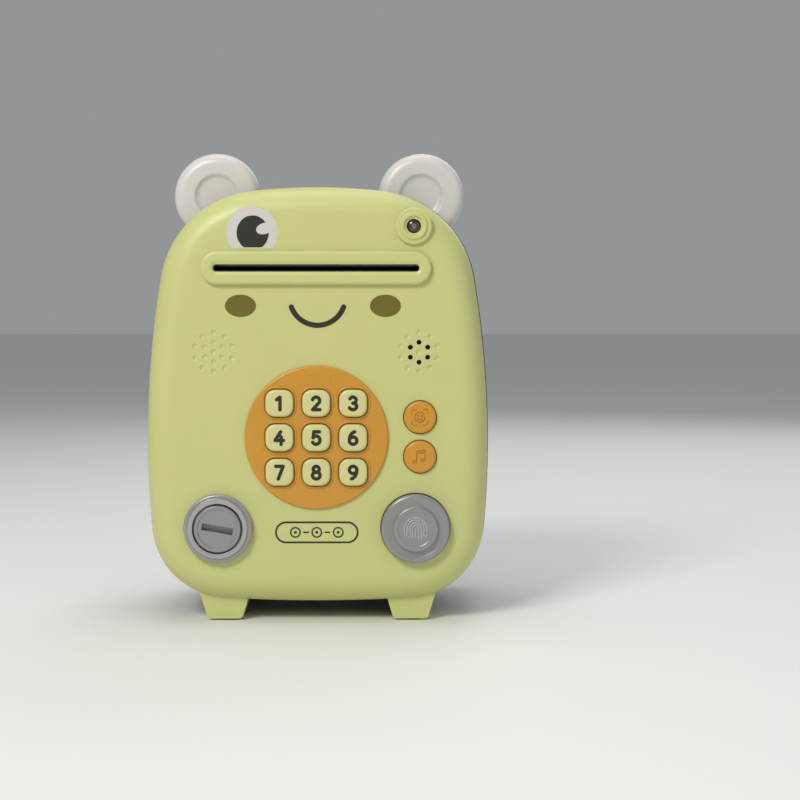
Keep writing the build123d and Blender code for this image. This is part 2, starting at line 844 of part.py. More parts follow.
def sensor_ring():
    """A stepped round boss with a barrel through the shell, bored for the lens."""
    top = -sensor_rise - sensor_step_rise
    barrel_end = shell_wall + sensor_barrel_length
    ring = round_slab(sensor_radius, sensor_x, sensor_z, -sensor_rise, barrel_end)
    ring = fillet(face_end(ring), sensor_step_rise)
    ring += round_slab(sensor_step_radius, sensor_x, sensor_z, top, 0)
    ring -= shell_blank()
    ring += round_slab(sensor_barrel_radius, sensor_x, sensor_z, -weld, barrel_end)
    ring -= round_slab(sensor_groove_radius, sensor_x, sensor_z, top - past, top + sensor_groove_depth)
    return ring - round_slab(lens_radius + seat_clearance, sensor_x, sensor_z, top, barrel_end + past)


def sensor_lens():
    """A smoky lens like a small lamp, domed in front, with a stop flange behind."""
    front = -sensor_rise - sensor_step_rise + sensor_groove_depth
    flange_at = shell_wall + sensor_barrel_length
    body = round_slab(lens_radius, sensor_x, sensor_z, front, flange_at)
    body = fillet(face_end(body), lens_recess)
    return body + round_slab(
        lens_radius + lens_flange, sensor_x, sensor_z, flange_at, flange_at + lens_flange_thickness
    )


def keypad_plate():
    """The round keypad disc on the face, with nine key holes and four locating pegs."""
    plate = round_slab(keypad_radius, 0, keypad_z, -keypad_rise, 0)
    plate = fillet(face_end(plate), keypad_rounding) - key_holes(-keypad_rise - past, past)
    return plate + posts(keypad_peg_places(), keypad_peg_radius, -weld, shell_wall + keypad_peg_length)


def key(x, z):
    """One key: a soft-edged cap, a flange behind the shell and a stem for the mat."""
    flange_back = flange_front + key_flange_thickness
    cap_sketch = Pos(x, z) * RectangleRounded(key_width, key_height, key_corner)
    flange_width = key_width + 2 * key_flange
    flange_height = key_height + 2 * key_flange
    flange_sketch = Pos(x, z) * RectangleRounded(flange_width, flange_height, key_corner)
    cap = slab(cap_sketch, -keypad_rise - key_rise, flange_front)
    cap = fillet(face_end(cap), key_rounding)
    cap += slab(flange_sketch, flange_front, flange_back)
    return cap + round_slab(key_stem_radius, x, z, flange_back, stem_back)


def round_button(z):
    """One small round push button with a flange behind the shell."""
    flange_back = flange_front + key_flange_thickness
    cap = round_slab(button_radius, button_x, z, -button_rise, flange_front)
    cap = fillet(face_end(cap), key_rounding)
    cap += round_slab(button_radius + button_flange, button_x, z, flange_front, flange_back)
    return cap + round_slab(key_stem_radius, button_x, z, flange_back, stem_back)


def fingerprint_button():
    """The large stepped push knob with a flange behind the shell and a switch stem."""
    flange_back = flange_front + key_flange_thickness
    top = -fingerprint_rise - fingerprint_step_rise
    knob = round_slab(knob_radius, fingerprint_x, knob_z, -fingerprint_rise, flange_front)
    knob = fillet(face_end(knob), key_rounding)
    step = round_slab(fingerprint_step_radius, fingerprint_x, knob_z, top, 0)
    knob += fillet(face_end(step), fingerprint_step_rise / 2)
    knob += round_slab(knob_radius + fingerprint_flange, fingerprint_x, knob_z, flange_front, flange_back)
    return knob + round_slab(key_stem_radius, fingerprint_x, knob_z, flange_back, stem_back)


# Boards behind the face -----------------------------------------------------------------


def keypad_mat():
    """The rubber contact mat behind the keys, drawn with its domes flat."""
    mat = slab(Pos(0, keypad_z) * Rectangle(keypad_board_width, keypad_board_height), mat_front, board_front)
    return mat - posts(keypad_screws_at, post_radius + seat_clearance, mat_front - past, board_front + past)


def screwed_board(x_low, x_high, front, z_low, z_high, screws_at):
    """A plain circuit board with its screw holes."""
    board = block(x_low, x_high, front, front + board_thickness, z_low, z_high)
    holes = posts(screws_at, screw_bore, front - past, front + board_thickness + past)
    return board - holes


def push_switch(x, z, stem_front, board_face):
    """A square push switch on the front of a board, with its round stem."""
    body_front = (stem_front + board_face) / 2
    half = switch_width / 2
    body = block(x - half, x + half, body_front, board_face, z - half, z + half)
    return body + round_slab(switch_stem_radius, x, z, stem_front, body_front)


def keypad_board():
    """The circuit board under the keypad mat."""
    right = keypad_board_width / 2
    half_height = keypad_board_height / 2
    low, high = keypad_z - half_height, keypad_z + half_height
    return screwed_board(-right, right, board_front, low, high, keypad_screws_at)


def button_board():
    """The narrow board with one push switch behind each round button."""
    left, right = button_x - button_board_width / 2, button_x + button_board_width / 2
    low, high = button_board_z - button_board_height / 2, button_board_z + button_board_height / 2
    board = screwed_board(left, right, board_front, low, high, button_screws_at)
    stem_front = stem_back + button_travel + seat_clearance
    return board + [push_switch(x, z, stem_front, board_front) for x, z in round_buttons_at]


def fingerprint_board():
    """The long narrow board with the switch behind the fingerprint knob."""
    reach = fingerprint_screw_reach + board_screw_inset
    half_height = fingerprint_board_height / 2
    left, right = fingerprint_x - reach, fingerprint_x + reach
    low, high = knob_z - half_height, knob_z + half_height
    board = screwed_board(left, right, fingerprint_board_front, low, high, fingerprint_screws_at)
    stem_front = stem_back + fingerprint_travel + seat_clearance
    return board + push_switch(fingerprint_x, knob_z, stem_front, fingerprint_board_front)


def main_board():
    """The main circuit board with its larger components on the back."""
    back = main_board_front + board_thickness
    board = screwed_board(
        main_board_left, main_board_right, main_board_front, main_board_bottom, main_board_top, main_screws_at
    )
    chip_x = (main_board_left + main_board_right) / 2
    chip_z = (main_board_bottom + main_board_top) / 2
    half_chip = chip_width / 2
    chip_left, chip_right = chip_x - half_chip, chip_x + half_chip
    board += block(chip_left, chip_right, back, back + chip_height, chip_z - half_chip, chip_z + half_chip)
    socket_right = chip_x - socket_from_chip
    socket_low = chip_z + socket_above_chip
    socket_top = socket_low + socket_width
    socket_left = socket_right - socket_length
    board += block(socket_left, socket_right, back, back + socket_height, socket_low, socket_top)
    cans_at = [(chip_x + away, chip_z - cans_below_chip) for away in cans_from_chip]
    return board + posts(cans_at, can_radius, back, back + can_height)


def ribbon_cable():
    """The flat cable from the back of the keypad board to the front of the main board."""
    low = keypad_z + keypad_board_height / 2
    high = main_board_bottom
    upper_depth = main_board_front - cable_thickness
    front_line = [(board_back, low - cable_lap), (board_back, low + cable_straight)]
    front_line += [(upper_depth, high - cable_straight), (upper_depth, high + cable_end)]
    back_line = [(depth + cable_thickness, z) for depth, z in reversed(front_line)]
    corners = [(face_y + depth, z) for depth, z in front_line + back_line]
    side_view = make_face(Polyline(*corners, close=True))
    return extrude(Plane.YZ.offset(-cable_width / 2) * side_view, amount=cable_width)


def board_screws():
    """The identical screws of the four circuit boards."""
    length = board_thickness + screw_bite
    sets = [
        (keypad_screws_at, board_back),
        (button_screws_at, board_back),
        (fingerprint_screws_at, fingerprint_board_front + board_thickness),
        (main_screws_at, main_board_front + board_thickness),
    ]
    return [screw for places, seat in sets for screw in screws_from_behind(places, seat, length)]


def speaker():
    """The small loudspeaker: rim, basket and magnet."""
    rim_back = shell_wall + speaker_rim
    basket_back = shell_wall + speaker_depth / 2
    speaker_back = shell_wall + speaker_depth
    body = round_slab(speaker_radius, sound_x, sound_z, shell_wall, rim_back)
    rim_circle = Circle(speaker_radius - speaker_rim)
    rim = Plane.XZ.offset(-(face_y + rim_back)) * Pos(sound_x, sound_z) * rim_circle
    neck = Plane.XZ.offset(-(face_y + basket_back)) * Pos(sound_x, sound_z) * Circle(speaker_magnet_radius)
    body += loft([rim, neck])
    return body + round_slab(speaker_magnet_radius, sound_x, sound_z, basket_back, speaker_back)


# Lock and latch ---------------------------------------------------------------------------


def lock_ring():
    """The fixed round surround of the key lock, with a long sleeve that carries the cylinder."""
    ring = round_slab(knob_radius, lock_x, knob_z, -lock_ring_rise, 0)
    ring = fillet(face_end(ring), lock_ring_rounding)
    collar_back = shell_wall + lock_nut_thickness + lock_thread_beyond_nut
    ring += round_slab(lock_collar_radius, lock_x, knob_z, -weld, collar_back)
    ring += round_slab(lock_sleeve_radius, lock_x, knob_z, -weld, lock_sleeve_back)
    ring -= round_slab(lock_mouth_radius, lock_x, knob_z, -lock_ring_rise - past, -lock_mouth_floor)
    bore = lock_barrel_radius + running_clearance
    return ring - round_slab(bore, lock_x, knob_z, -lock_mouth_floor - past, lock_sleeve_back + past)


def lock_nut():
    """The flat nut that clamps the lock ring to the shell."""
    nut_back = shell_wall + lock_nut_thickness
    nut = slab(Pos(lock_x, knob_z) * RegularPolygon(lock_nut_radius, lock_nut_sides), shell_wall, nut_back)
    return nut - round_slab(lock_collar_radius + running_clearance, lock_x, knob_z, 0, nut_back + past)


def lock_cylinder():
    """The turning cylinder with its key slot, a broad head in front and a bored rear end."""
    head_back = -lock_mouth_floor - seat_clearance
    head = round_slab(lock_head_radius, lock_x, knob_z, -lock_head_rise, head_back)
    head = fillet(face_end(head), lock_head_rounding)
    cylinder = head + round_slab(lock_barrel_radius, lock_x, knob_z, head_back, cam_front)
    slot_shape = Rot(0, 0, -key_slot_tilt) * Rectangle(key_slot_length, key_slot_width)
    slot_sketch = Pos(lock_x, knob_z) * slot_shape
    cylinder -= slab(slot_sketch, -lock_head_rise - past, key_slot_depth - lock_head_rise)
    return cylinder - round_slab(screw_bore, lock_x, knob_z, cam_front - cam_screw_length, cam_back)


def lock_cam():
    """The crank disc on the end of the cylinder, with the pin that drives the bolt."""
    pin_x = lock_x + crank_radius * math.cos(crank_rest_angle)
    pin_z = knob_z + crank_radius * math.sin(crank_rest_angle)
    cam = round_slab(cam_radius, lock_x, knob_z, cam_front, cam_back)
    cam -= round_slab(cam_screw_head_radius + seat_clearance, lock_x, knob_z, cam_screw_seat, cam_back + past)
    cam -= round_slab(screw_bore, lock_x, knob_z, cam_front - past, cam_back)
    return cam + round_slab(crank_pin_radius, pin_x, pin_z, cam_back, bolt_back - 2 * slide_clearance)


def cam_screw():
    """The small screw that holds the crank disc on the cylinder, sunk in the disc."""
    turned = Rot(-90, 0, 0) * pan_screw(cam_screw_length, cam_screw_head_radius, cam_screw_head_height)
    return Pos(lock_x, face_y + cam_screw_seat, knob_z) * turned


def latch_bolt():
    """The sliding bolt: a bevelled bar, the slotted yoke that the crank pin runs in, and an end lug."""
    low, high = knob_z - bolt_height / 2, knob_z + bolt_height / 2
    bolt = block(bolt_tip_x, bolt_end_x, bolt_front, bolt_back, low, high)
    bolt = chamfer(bolt.edges().filter_by(Axis.Z).sort_by(Axis.X)[:2].sort_by(Axis.Y)[-1:], bolt_bevel)
    half_yoke = yoke_width / 2
    yoke_low, yoke_high = knob_z - yoke_height / 2, knob_z + yoke_height / 2
    bolt += block(yoke_x - half_yoke, yoke_x + half_yoke, bolt_front, bolt_back, yoke_low, yoke_high)
    lug_front = plunger_depth - plunger_radius - slide_clearance
    bolt += block(bolt_end_x - bolt_lug_length, bolt_end_x, lug_front, bolt_back, low, high)
    slot_width = 2 * (crank_pin_radius + yoke_clearance)
    slot_reach = 2 * (crank_radius + crank_pin_radius + 2 * yoke_clearance)
    slot = Pos(yoke_x, knob_z) * Rot(0, 0, 90) * SlotOverall(slot_reach, slot_width)
    return bolt - slab(slot, bolt_front - past, bolt_back + past)


def latch_plunger():
    """The solenoid's steel plunger, fixed to the end of the bolt."""
    plunger_end = solenoid_x + solenoid_length - 2 * plunger_end_gap
    return rod_across(plunger_radius, bolt_end_x, plunger_end, plunger_depth, knob_z)


def latch_solenoid():
    """The solenoid's frame and coil, bored blind for the plunger."""
    right = solenoid_x + solenoid_length
    front = cover_inside - solenoid_depth
    low, high = knob_z - solenoid_height / 2, knob_z + solenoid_height / 2
    body = block(solenoid_x, solenoid_x + solenoid_plate, front, cover_inside, low, high)
    body += block(right - solenoid_plate, right, front, cover_inside, low, high)
    body += block(solenoid_x, right, cover_inside - solenoid_plate, cover_inside, low, high)
    body += rod_across(solenoid_coil_radius, solenoid_x, right, plunger_depth, knob_z)
    bore = plunger_radius + slide_clearance / 2
    return body - rod_across(bore, solenoid_x - past, right - plunger_end_gap, plunger_depth, knob_z)


def latch_spring():
    """The coil spring round the plunger that pushes the bolt out."""
    radius = plunger_radius + spring_radial_gap + spring_wire / 2
    spring = coil(radius, spring_wire, spring_turns, spring_length - 2 * seat_clearance)
    return Pos(bolt_end_x + seat_clearance, face_y + plunger_depth, knob_z) * Rot(0, 90, 0) * spring


# Inner cover and batteries ------------------------------------------------------------------


def cover_outline(shrink=0.0):
    """Front view of the raised part of the inner cover, flat on the hinge side and at the top."""
    right = cover_right_x - shrink
    top = cover_top_z - shrink
    room = Pos(right - shell_width, top - shell_height) * Rectangle(2 * shell_width, 2 * shell_height)
    sketch = body_outline(-cover_hat_inset - shrink) & room
    low_corner = sketch.vertices().group_by(Axis.X)[-1].sort_by(Axis.Y)[:1]
    return fillet(low_corner + sketch.vertices().group_by(Axis.Y)[-1], cover_corner_radius - shrink)


def battery_opening(clearance):
    """Outline of the battery cover: a rounded plate with a tab for its screw."""
    length, height = battery_cover_length + 2 * clearance, battery_cover_height + 2 * clearance
    plate = RectangleRounded(length, height, battery_cover_corner)
    tab_top = battery_cover_height / 2 + battery_tab_length + clearance
    tab = Pos(0, tab_top / 2) * Rectangle(battery_tab_width + 2 * clearance, tab_top)
    return Pos(0, battery_z) * (plate + tab)


def battery_tongues(clearance):
    """The two tongues on the bottom edge of the battery cover that hook under the tray."""
    bottom = battery_z - battery_cover_height / 2
    half_tongue = battery_tongue_width / 2 + clearance
    back = cover_inside
    front = back - battery_tongue_thickness - clearance
    low = bottom - battery_tongue_length - clearance
    spread = battery_cover_length / 4
    top = bottom + battery_cover_corner
    centres = (-spread, spread)
    return [block(x - half_tongue, x + half_tongue, front, back, low, top) for x in centres]


def inner_cover():
    """The tray that closes the back of the door, with the battery bay and the bolt guides in it."""
    flange_back = cover_flange_depth + cover_flange_thickness
    hat = slab(cover_outline(), cover_flange_depth, cover_back)
    cover = slab(body_outline(-shell_wall - cover_edge_clearance), cover_flange_depth, flange_back) + hat
    cover -= slab(cover_outline(cover_thickness), cover_flange_depth - past, cover_inside)
    wells = Part() + posts(cover_screws_at, boss_radius + well_wall, cover_flange_depth, cover_back)
    cover += hat & wells
    cover -= posts(cover_screws_at, boss_radius, flange_back, cover_back + past)
    cover -= posts(cover_screws_at, screw_bore, cover_flange_depth - past, cover_back)
    note_exit = SlotOverall(slot_length + 2 * note_exit_margin, note_exit_height)
    cover -= slab(Pos(0, slot_z) * note_exit, cover_inside - past, cover_back + past)
    cover = with_battery_bay(cover)
    cover = with_bolt_guides(cover)
    for z in (lower_arm_z, upper_arm_z):
        boss_front = cover_inside - arm_boss_length
        cover += posts(arm_screw_places(z), arm_boss_radius, boss_front, cover_inside + weld)
        cover -= posts(arm_screw_places(z), screw_bore, boss_front - past, cover_back + past)
    return cover


def with_battery_bay(cover):
    """The cover with its battery tray, the seat of the battery cover and the boss for its screw."""
    floor_front = bay_floor - bay_floor_thickness
    half_length, half_height = bay_length / 2, bay_height / 2
    reach = half_length + bay_wall
    rise = half_height + bay_wall
    cover += block(-reach, reach, floor_front, cover_inside + weld, battery_z - rise, battery_z + rise)
    pad = battery_tab_width / 2 + bay_wall
    pad_top = battery_tab_z + battery_tab_length / 2 + bay_wall
    cover += block(-pad, pad, cover_inside - bay_wall, cover_inside + weld, battery_z + half_height, pad_top)
    boss_front = cover_back - cover_thickness - screw_bite - bay_wall
    cover += posts([(0, battery_tab_z)], boss_radius, boss_front, cover_inside)
    cover -= slab(battery_opening(slide_clearance), cover_inside, cover_back + past)
    low, high = battery_z - half_height, battery_z + half_height
    cover -= block(-half_length, half_length, bay_floor, cover_back + past, low, high)
    cover -= battery_tongues(slide_clearance)
    return cover - posts([(0, battery_tab_z)], screw_bore, boss_front - past, cover_inside + past)


def with_bolt_guides(cover):
    """The cover with the two blocks that the bolt slides through and the tunnel through them."""
    low, high = knob_z - guide_height / 2, knob_z + guide_height / 2
    front = bolt_front - bolt_thickness + weld
    hat_left = -(half_width(knob_z) - cover_hat_inset)
    outer_end = hat_left + cover_thickness + guide_length
    cover += block(hat_left + weld, outer_end, front, cover_inside + weld, low, high)
    cover += block(inner_guide_x, inner_guide_x + guide_length, front, cover_inside + weld, low, high)
    tunnel_front, tunnel_back = bolt_front - slide_clearance, bolt_back + slide_clearance
    tunnel_low = knob_z - bolt_height / 2 - slide_clearance
    tunnel_high = knob_z + bolt_height / 2 + slide_clearance
    tunnel_right = inner_guide_x + guide_length + past
    return cover - block(hat_left - past, tunnel_right, tunnel_front, tunnel_back, tunnel_low, tunnel_high)


def battery_cover():
    """The removable plate over the cells, with two tongues and a screw tab."""
    cover = slab(battery_opening(0), cover_inside, cover_back) + battery_tongues(0)
    return cover - posts([(0, battery_tab_z)], screw_bore, cover_inside - past, cover_back + past)


def cell_rows():
    """Height of each cell and the side its positive end points to."""
    return [(battery_z + cell_pitch, 1), (battery_z, -1), (battery_z - cell_pitch, 1)]


def battery_cells():
    """Three round cells side by side, with alternate ends to the right."""
    end = bay_length / 2 - contact_thickness
    cells = []
    for z, side in cell_rows():
        nub_inner = end - cell_nub_length
        flat_end = nub_inner - cell_length
        low, high = sorted((side * nub_inner, side * flat_end))
        can = rod_across(cell_radius, low, high, cell_depth, z)
        can = fillet(can.edges().filter_by(GeomType.CIRCLE), cell_edge_rounding)
        low, high = sorted((side * end, side * (nub_inner - weld)))
        cells.append(can + rod_across(cell_nub_radius, low, high, cell_depth, z))
    return cells


def battery_contacts():
    """The flat metal plates at the ends of the bay, two of which bridge neighbouring cells."""
    inner = bay_length / 2 - contact_thickness
    front, back = cell_depth - contact_depth / 2, cell_depth + contact_depth / 2
    half = contact_width / 2
    top, middle, bottom = [z for z, _ in cell_rows()]
    plates = []
    for side, z_low, z_high in ((1, middle, top), (1, bottom, bottom), (-1, top, top), (-1, bottom, middle)):
        low, high = sorted((side * inner, side * bay_length / 2))
        plates.append(block(low, high, front, back, z_low - half, z_high + half))
    return plates


def battery_springs():
    """The three springs that press on the flat ends of the cells."""
    gap = bay_length - 2 * contact_thickness - cell_nub_length - cell_length
    spring = coil(battery_spring_radius, battery_spring_wire, battery_spring_turns, gap - 2 * seat_clearance)
    start = -bay_length / 2 + contact_thickness + seat_clearance
    springs = []
    for z, side in cell_rows():
        x = start if side > 0 else -start
        springs.append(Pos(x, face_y + cell_depth, z) * Rot(0, side * 90, 0) * spring)
    return springs


def cover_screws():
    """The screws that hold the inner cover to the posts of the front shell."""
    seat = cover_flange_depth + cover_flange_thickness
    return screws_from_behind(cover_screws_at, seat, cover_flange_thickness + screw_bite)


def battery_screw():
    """The one screw through the tab of the battery cover."""
    return screws_from_behind([(0, battery_tab_z)], cover_back, cover_thickness + screw_bite)


# Note feeder --------------------------------------------------------------------------------


def roller_windows(axis_z, radius, z_low, z_high):
    """Openings in a guide plate for a pair of rollers."""
    nearest = min(abs(z_low - axis_z), abs(z_high - axis_z))
    half_depth = math.sqrt(radius**2 - nearest**2) + roller_window_margin
    half_length = roller_length / 2 + roller_window_margin
    front, back = feed_axis_depth - half_depth, feed_axis_depth + half_depth
    centres = (-roller_spread / 2, roller_spread / 2)
    low, high = z_low - past, z_high + past
    return [block(x - half_length, x + half_length, front, back, low, high) for x in centres]


def feeder_frame():
    """The feeder's frame: two side plates, two slotted guide plates, a front plate and two tabs."""
    top = slot_z + frame_above_slot
    lower_top = slot_z - note_passage / 2
    upper_low = slot_z + note_passage / 2
    tab_back = tab_front + frame_plate
    frame = block(-frame_outer_x, -frame_inner_x, frame_front, frame_back, motor_z - frame_below_motor, top)
    frame += block(frame_inner_x, frame_outer_x, frame_front, frame_back, drive_z - frame_below_axle, top)
    lower_low = lower_top - guide_thickness
    upper_top = upper_low + guide_thickness
    lower = block(-frame_outer_x, frame_outer_x, frame_front, frame_back, lower_low, lower_top)
    upper = block(-frame_outer_x, frame_outer_x, frame_front, frame_back, upper_low, upper_top)
    frame += lower - roller_windows(drive_z, roller_radius, lower_low, lower_top)
    frame += upper - roller_windows(pinch_z, pinch_radius, upper_low, upper_top)
    frame += block(-frame_outer_x, frame_outer_x, tab_front, tab_back, upper_low, top)
    half_tab = frame_tab_width / 2
    tab_top = feeder_screws_at[0][1] + half_tab
    tab_low = slot_z + frame_tab_root
    frame += [
        block(x - half_tab, x + half_tab, tab_front, tab_back, tab_low, tab_top) for x, _ in feeder_screws_at
    ]
    frame -= posts(feeder_screws_at, screw_bore, tab_front - past, tab_back + past)
    reach = frame_outer_x + past
    for radius, z in ((drive_shaft_radius, drive_z), (pinch_shaft_radius, pinch_z)):
        frame -= rod_across(radius + running_clearance, -reach, reach, feed_axis_depth, z)
    boss_hole = motor_boss_radius + seat_clearance
    return frame - rod_across(boss_hole, -reach, past - frame_inner_x, feed_axis_depth, motor_z)


def feeder_screws():
    """The two screws that hold the feeder's frame to the front shell."""
    return screws_from_behind(feeder_screws_at, tab_front + frame_plate, frame_plate + screw_bite)


def drive_shaft():
    """The long driven shaft, with the gear on its left end."""
    return rod_across(drive_shaft_radius, gear_left_x - weld, frame_outer_x + past, feed_axis_depth, drive_z)


def rollers(radius, shaft_radius, z):
    """Two rubber rollers on one shaft."""
    pair = []
    for x in (-roller_spread / 2, roller_spread / 2):
        tyre = rod_across(radius, x - roller_length / 2, x + roller_length / 2, feed_axis_depth, z)
        tyre = fillet(tyre.edges().filter_by(GeomType.CIRCLE), radius / 8)
        pair.append(tyre - rod_across(shaft_radius, x - roller_length, x + roller_length, feed_axis_depth, z))
    return pair


def drive_gear():
    """The large gear on the drive shaft, with a tooth pointing at the pinion."""
    return gear_across(gear_teeth, gear_left_x, drive_z, drive_shaft_radius, 0)


def motor_pinion():
    """The motor's pinion and shaft, with a gap facing the large gear."""
    pinion = gear_across(pinion_teeth, gear_left_x, motor_z, motor_shaft_radius / 2, 180 / pinion_teeth)
    shaft_end = motor_shaft_inside - frame_inner_x
    return pinion + rod_across(motor_shaft_radius, gear_left_x - weld, shaft_end, feed_axis_depth, motor_z)


def pinch_shaft():
    """The idle shaft above the note."""
    return rod_across(pinch_shaft_radius, -frame_outer_x, frame_outer_x, feed_axis_depth, pinch_z)


def feed_motor():
    """The small flat-sided motor behind the left side plate."""
    left, right = -frame_inner_x, motor_length - frame_inner_x
    half = motor_thickness / 2
    can = rod_across(motor_radius, left, right, feed_axis_depth, motor_z)
    can &= block(left, right, 0, 2 * feed_axis_depth, motor_z - half, motor_z + half)
    can += rod_across(motor_boss_radius, -frame_outer_x, left + weld, feed_axis_depth, motor_z)
    can += rod_across(motor_boss_radius, right - weld, right + past, feed_axis_depth, motor_z)
    bore = motor_shaft_radius + running_clearance
    bore_end = left + motor_shaft_inside + slide_clearance
    return can - rod_across(bore, -frame_outer_x - past, bore_end, feed_axis_depth, motor_z)


# Every piece, by name ---------------------------------------------------------------------

pieces = {
    "front_shell": front_shell(),
    "rear_case": rear_case(),
    "left_ear": ear(-1),
    "right_ear": ear(1),
    "ear_screws": ear_screws(),
    "hinge_pins": hinge_pins(),
    "lower_hinge_arm": hinge_arm(lower_arm_z),
    "upper_hinge_arm": hinge_arm(upper_arm_z),
    "arm_screws": arm_screws(),
    "slot_bezel": slot_bezel(),
    "sensor_ring": sensor_ring(),
    "sensor_lens": sensor_lens(),
    "keypad_plate": keypad_plate(),
    "keypad_mat": keypad_mat(),
    "keypad_board": keypad_board(),
    "face_button": round_button(face_button_z),
    "music_button": round_button(music_button_z),
    "button_board": button_board(),
    "fingerprint_button": fingerprint_button(),
    "fingerprint_board": fingerprint_board(),
    "main_board": main_board(),
    "ribbon_cable": ribbon_cable(),
    "board_screws": board_screws(),
    "speaker": speaker(),
    "lock_ring": lock_ring(),
    "lock_nut": lock_nut(),
    "lock_cylinder": lock_cylinder(),
    "lock_cam": lock_cam(),
    "cam_screw": cam_screw(),
    "latch_bolt": latch_bolt(),
    "latch_plunger": latch_plunger(),
    "latch_spring": latch_spring(),
    "latch_solenoid": latch_solenoid(),
    "inner_cover": inner_cover(),
    "cover_screws": cover_screws(),
    "battery_cells": battery_cells(),
    "battery_contacts": battery_contacts(),
    "battery_springs": battery_springs(),
    "battery_cover": battery_cover(),
    "battery_screw": battery_screw(),
    "feeder_frame": feeder_frame(),
    "feeder_screws": feeder_screws(),
    "drive_shaft": drive_shaft(),
    "drive_gear": drive_gear(),
    "drive_rollers": rollers(roller_radius, drive_shaft_radius, drive_z),
    "motor_pinion": motor_pinion(),
    "feed_motor": feed_motor(),
    "pinch_shaft": pinch_shaft(),
    "pinch_rollers": rollers(pinch_radius, pinch_shaft_radius, pinch_z),
}
for number, (key_x, key_z) in enumerate(key_places(), start=1):
    pieces[f"key_{number}"] = key(key_x, key_z)

os.makedirs("parts", exist_ok=True)
for name, piece in pieces.items():
    if isinstance(piece, list):
        piece = Compound(children=[solid for item in piece for solid in item.solids()])
    export_step(piece, f"parts/{name}.step")
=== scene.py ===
import json
import math

import bmesh
import bpy
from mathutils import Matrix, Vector
from mathutils.geometry import delaunay_2d_cdt


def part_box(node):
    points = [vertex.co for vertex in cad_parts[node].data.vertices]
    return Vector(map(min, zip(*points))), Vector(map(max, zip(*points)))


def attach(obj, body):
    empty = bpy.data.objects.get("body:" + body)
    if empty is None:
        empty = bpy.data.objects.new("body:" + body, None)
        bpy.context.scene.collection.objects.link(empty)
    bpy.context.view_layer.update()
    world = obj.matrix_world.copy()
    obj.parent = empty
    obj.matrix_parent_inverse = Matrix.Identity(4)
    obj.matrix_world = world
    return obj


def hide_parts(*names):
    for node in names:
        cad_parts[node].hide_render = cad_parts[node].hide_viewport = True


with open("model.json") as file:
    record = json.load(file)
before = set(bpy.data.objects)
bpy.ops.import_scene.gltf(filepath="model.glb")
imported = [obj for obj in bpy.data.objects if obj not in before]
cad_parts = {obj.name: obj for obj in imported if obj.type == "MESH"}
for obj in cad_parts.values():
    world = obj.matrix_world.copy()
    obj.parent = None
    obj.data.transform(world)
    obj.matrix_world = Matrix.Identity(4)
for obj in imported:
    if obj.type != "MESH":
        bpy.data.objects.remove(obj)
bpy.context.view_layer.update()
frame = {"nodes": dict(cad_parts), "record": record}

# Toy cash-machine savings bank with a frog's face. Sizes are millimetres until a mesh is made.
# X is to the right, Z is up, and a depth is measured backwards from the flat of the face.
nodes = frame["nodes"]

# Front shell: the door of the bank, a shallow shell moulded in light green ABS with rounded
# edges, two front feet, and openings for the slot frame, keys, buttons, lock and knob.
# The sound holes on the right are bored through; all the other dents are blind.
face_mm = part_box("front_shell")[0].y * 1000
mm = 0.001
shell_half_width, widest_z = 69.0, 72.0
shell_top, shell_bottom = 175.5, 7.5
crown_radius, side_radius, belly_radius = 230.0, 400.0, 600.0
top_corner, bottom_corner = 42.0, 31.0


def at(x, depth, z):
    """A point in metres from millimetres across, behind the face and up."""
    return Vector((x, face_mm + depth, z)) * mm


def arc_steps(centre, radius, start, end, steps):
    """Points and outward normals along an arc, angles in radians, the end left out."""
    out = []
    for i in range(steps):
        a = start + (end - start) * i / steps
        nx, nz = math.cos(a), math.sin(a)
        out.append((centre[0] + radius * nx, centre[1] + radius * nz, nx, nz))
    return out


def meeting(centre_a, reach_a, centre_b, reach_b):
    """Where two circles meet on the right-hand side of the body."""
    a, b = Vector(centre_a), Vector(centre_b)
    gap = (b - a).length
    along = (reach_a**2 - reach_b**2 + gap**2) / (2 * gap)
    aside = math.sqrt(reach_a**2 - along**2)
    forward = (b - a) / gap
    found = [a + forward * along + Vector((forward.y, -forward.x)) * s * aside for s in (-1, 1)]
    return max(found, key=lambda p: p.x)


def angle_to(origin, point):
    """The direction from one point to another, in radians."""
    return math.atan2(point[1] - origin[1], point[0] - origin[0])


def body_outline():
    """The front view: four bowed sides and four round corners, clockwise from the top."""
    crown = (0.0, shell_top - crown_radius)
    side = (shell_half_width - side_radius, widest_z)
    belly = (0.0, shell_bottom + belly_radius)
    top = meeting(crown, crown_radius - top_corner, side, side_radius - top_corner)
    bottom = meeting(side, side_radius - bottom_corner, belly, belly_radius - bottom_corner)
    right = arc_steps(crown, crown_radius, math.pi / 2, angle_to(crown, top), 14)
    right += arc_steps(top, top_corner, angle_to(crown, top), angle_to(side, top), 26)
    right += arc_steps(side, side_radius, angle_to(side, top), angle_to(side, bottom), 24)
    right += arc_steps(bottom, bottom_corner, angle_to(side, bottom), angle_to(belly, bottom), 22)
    right += arc_steps(belly, belly_radius, angle_to(belly, bottom), -math.pi / 2, 10)
    left = [(-x, z, -nx, nz) for x, z, nx, nz in reversed(right[1:])]
    return right + [(0.0, shell_bottom, 0.0, -1.0)] + left


outline = body_outline()


def rounding(radius, grow, depth, start, end, steps=9):
    """A rounded edge of a section, as (grow, depth) pairs round a centre, angles in degrees."""
    angles = [math.radians(start + (end - start) * i / steps) for i in range(steps + 1)]
    return [(grow + radius * math.cos(a), depth + radius * math.sin(a)) for a in angles]


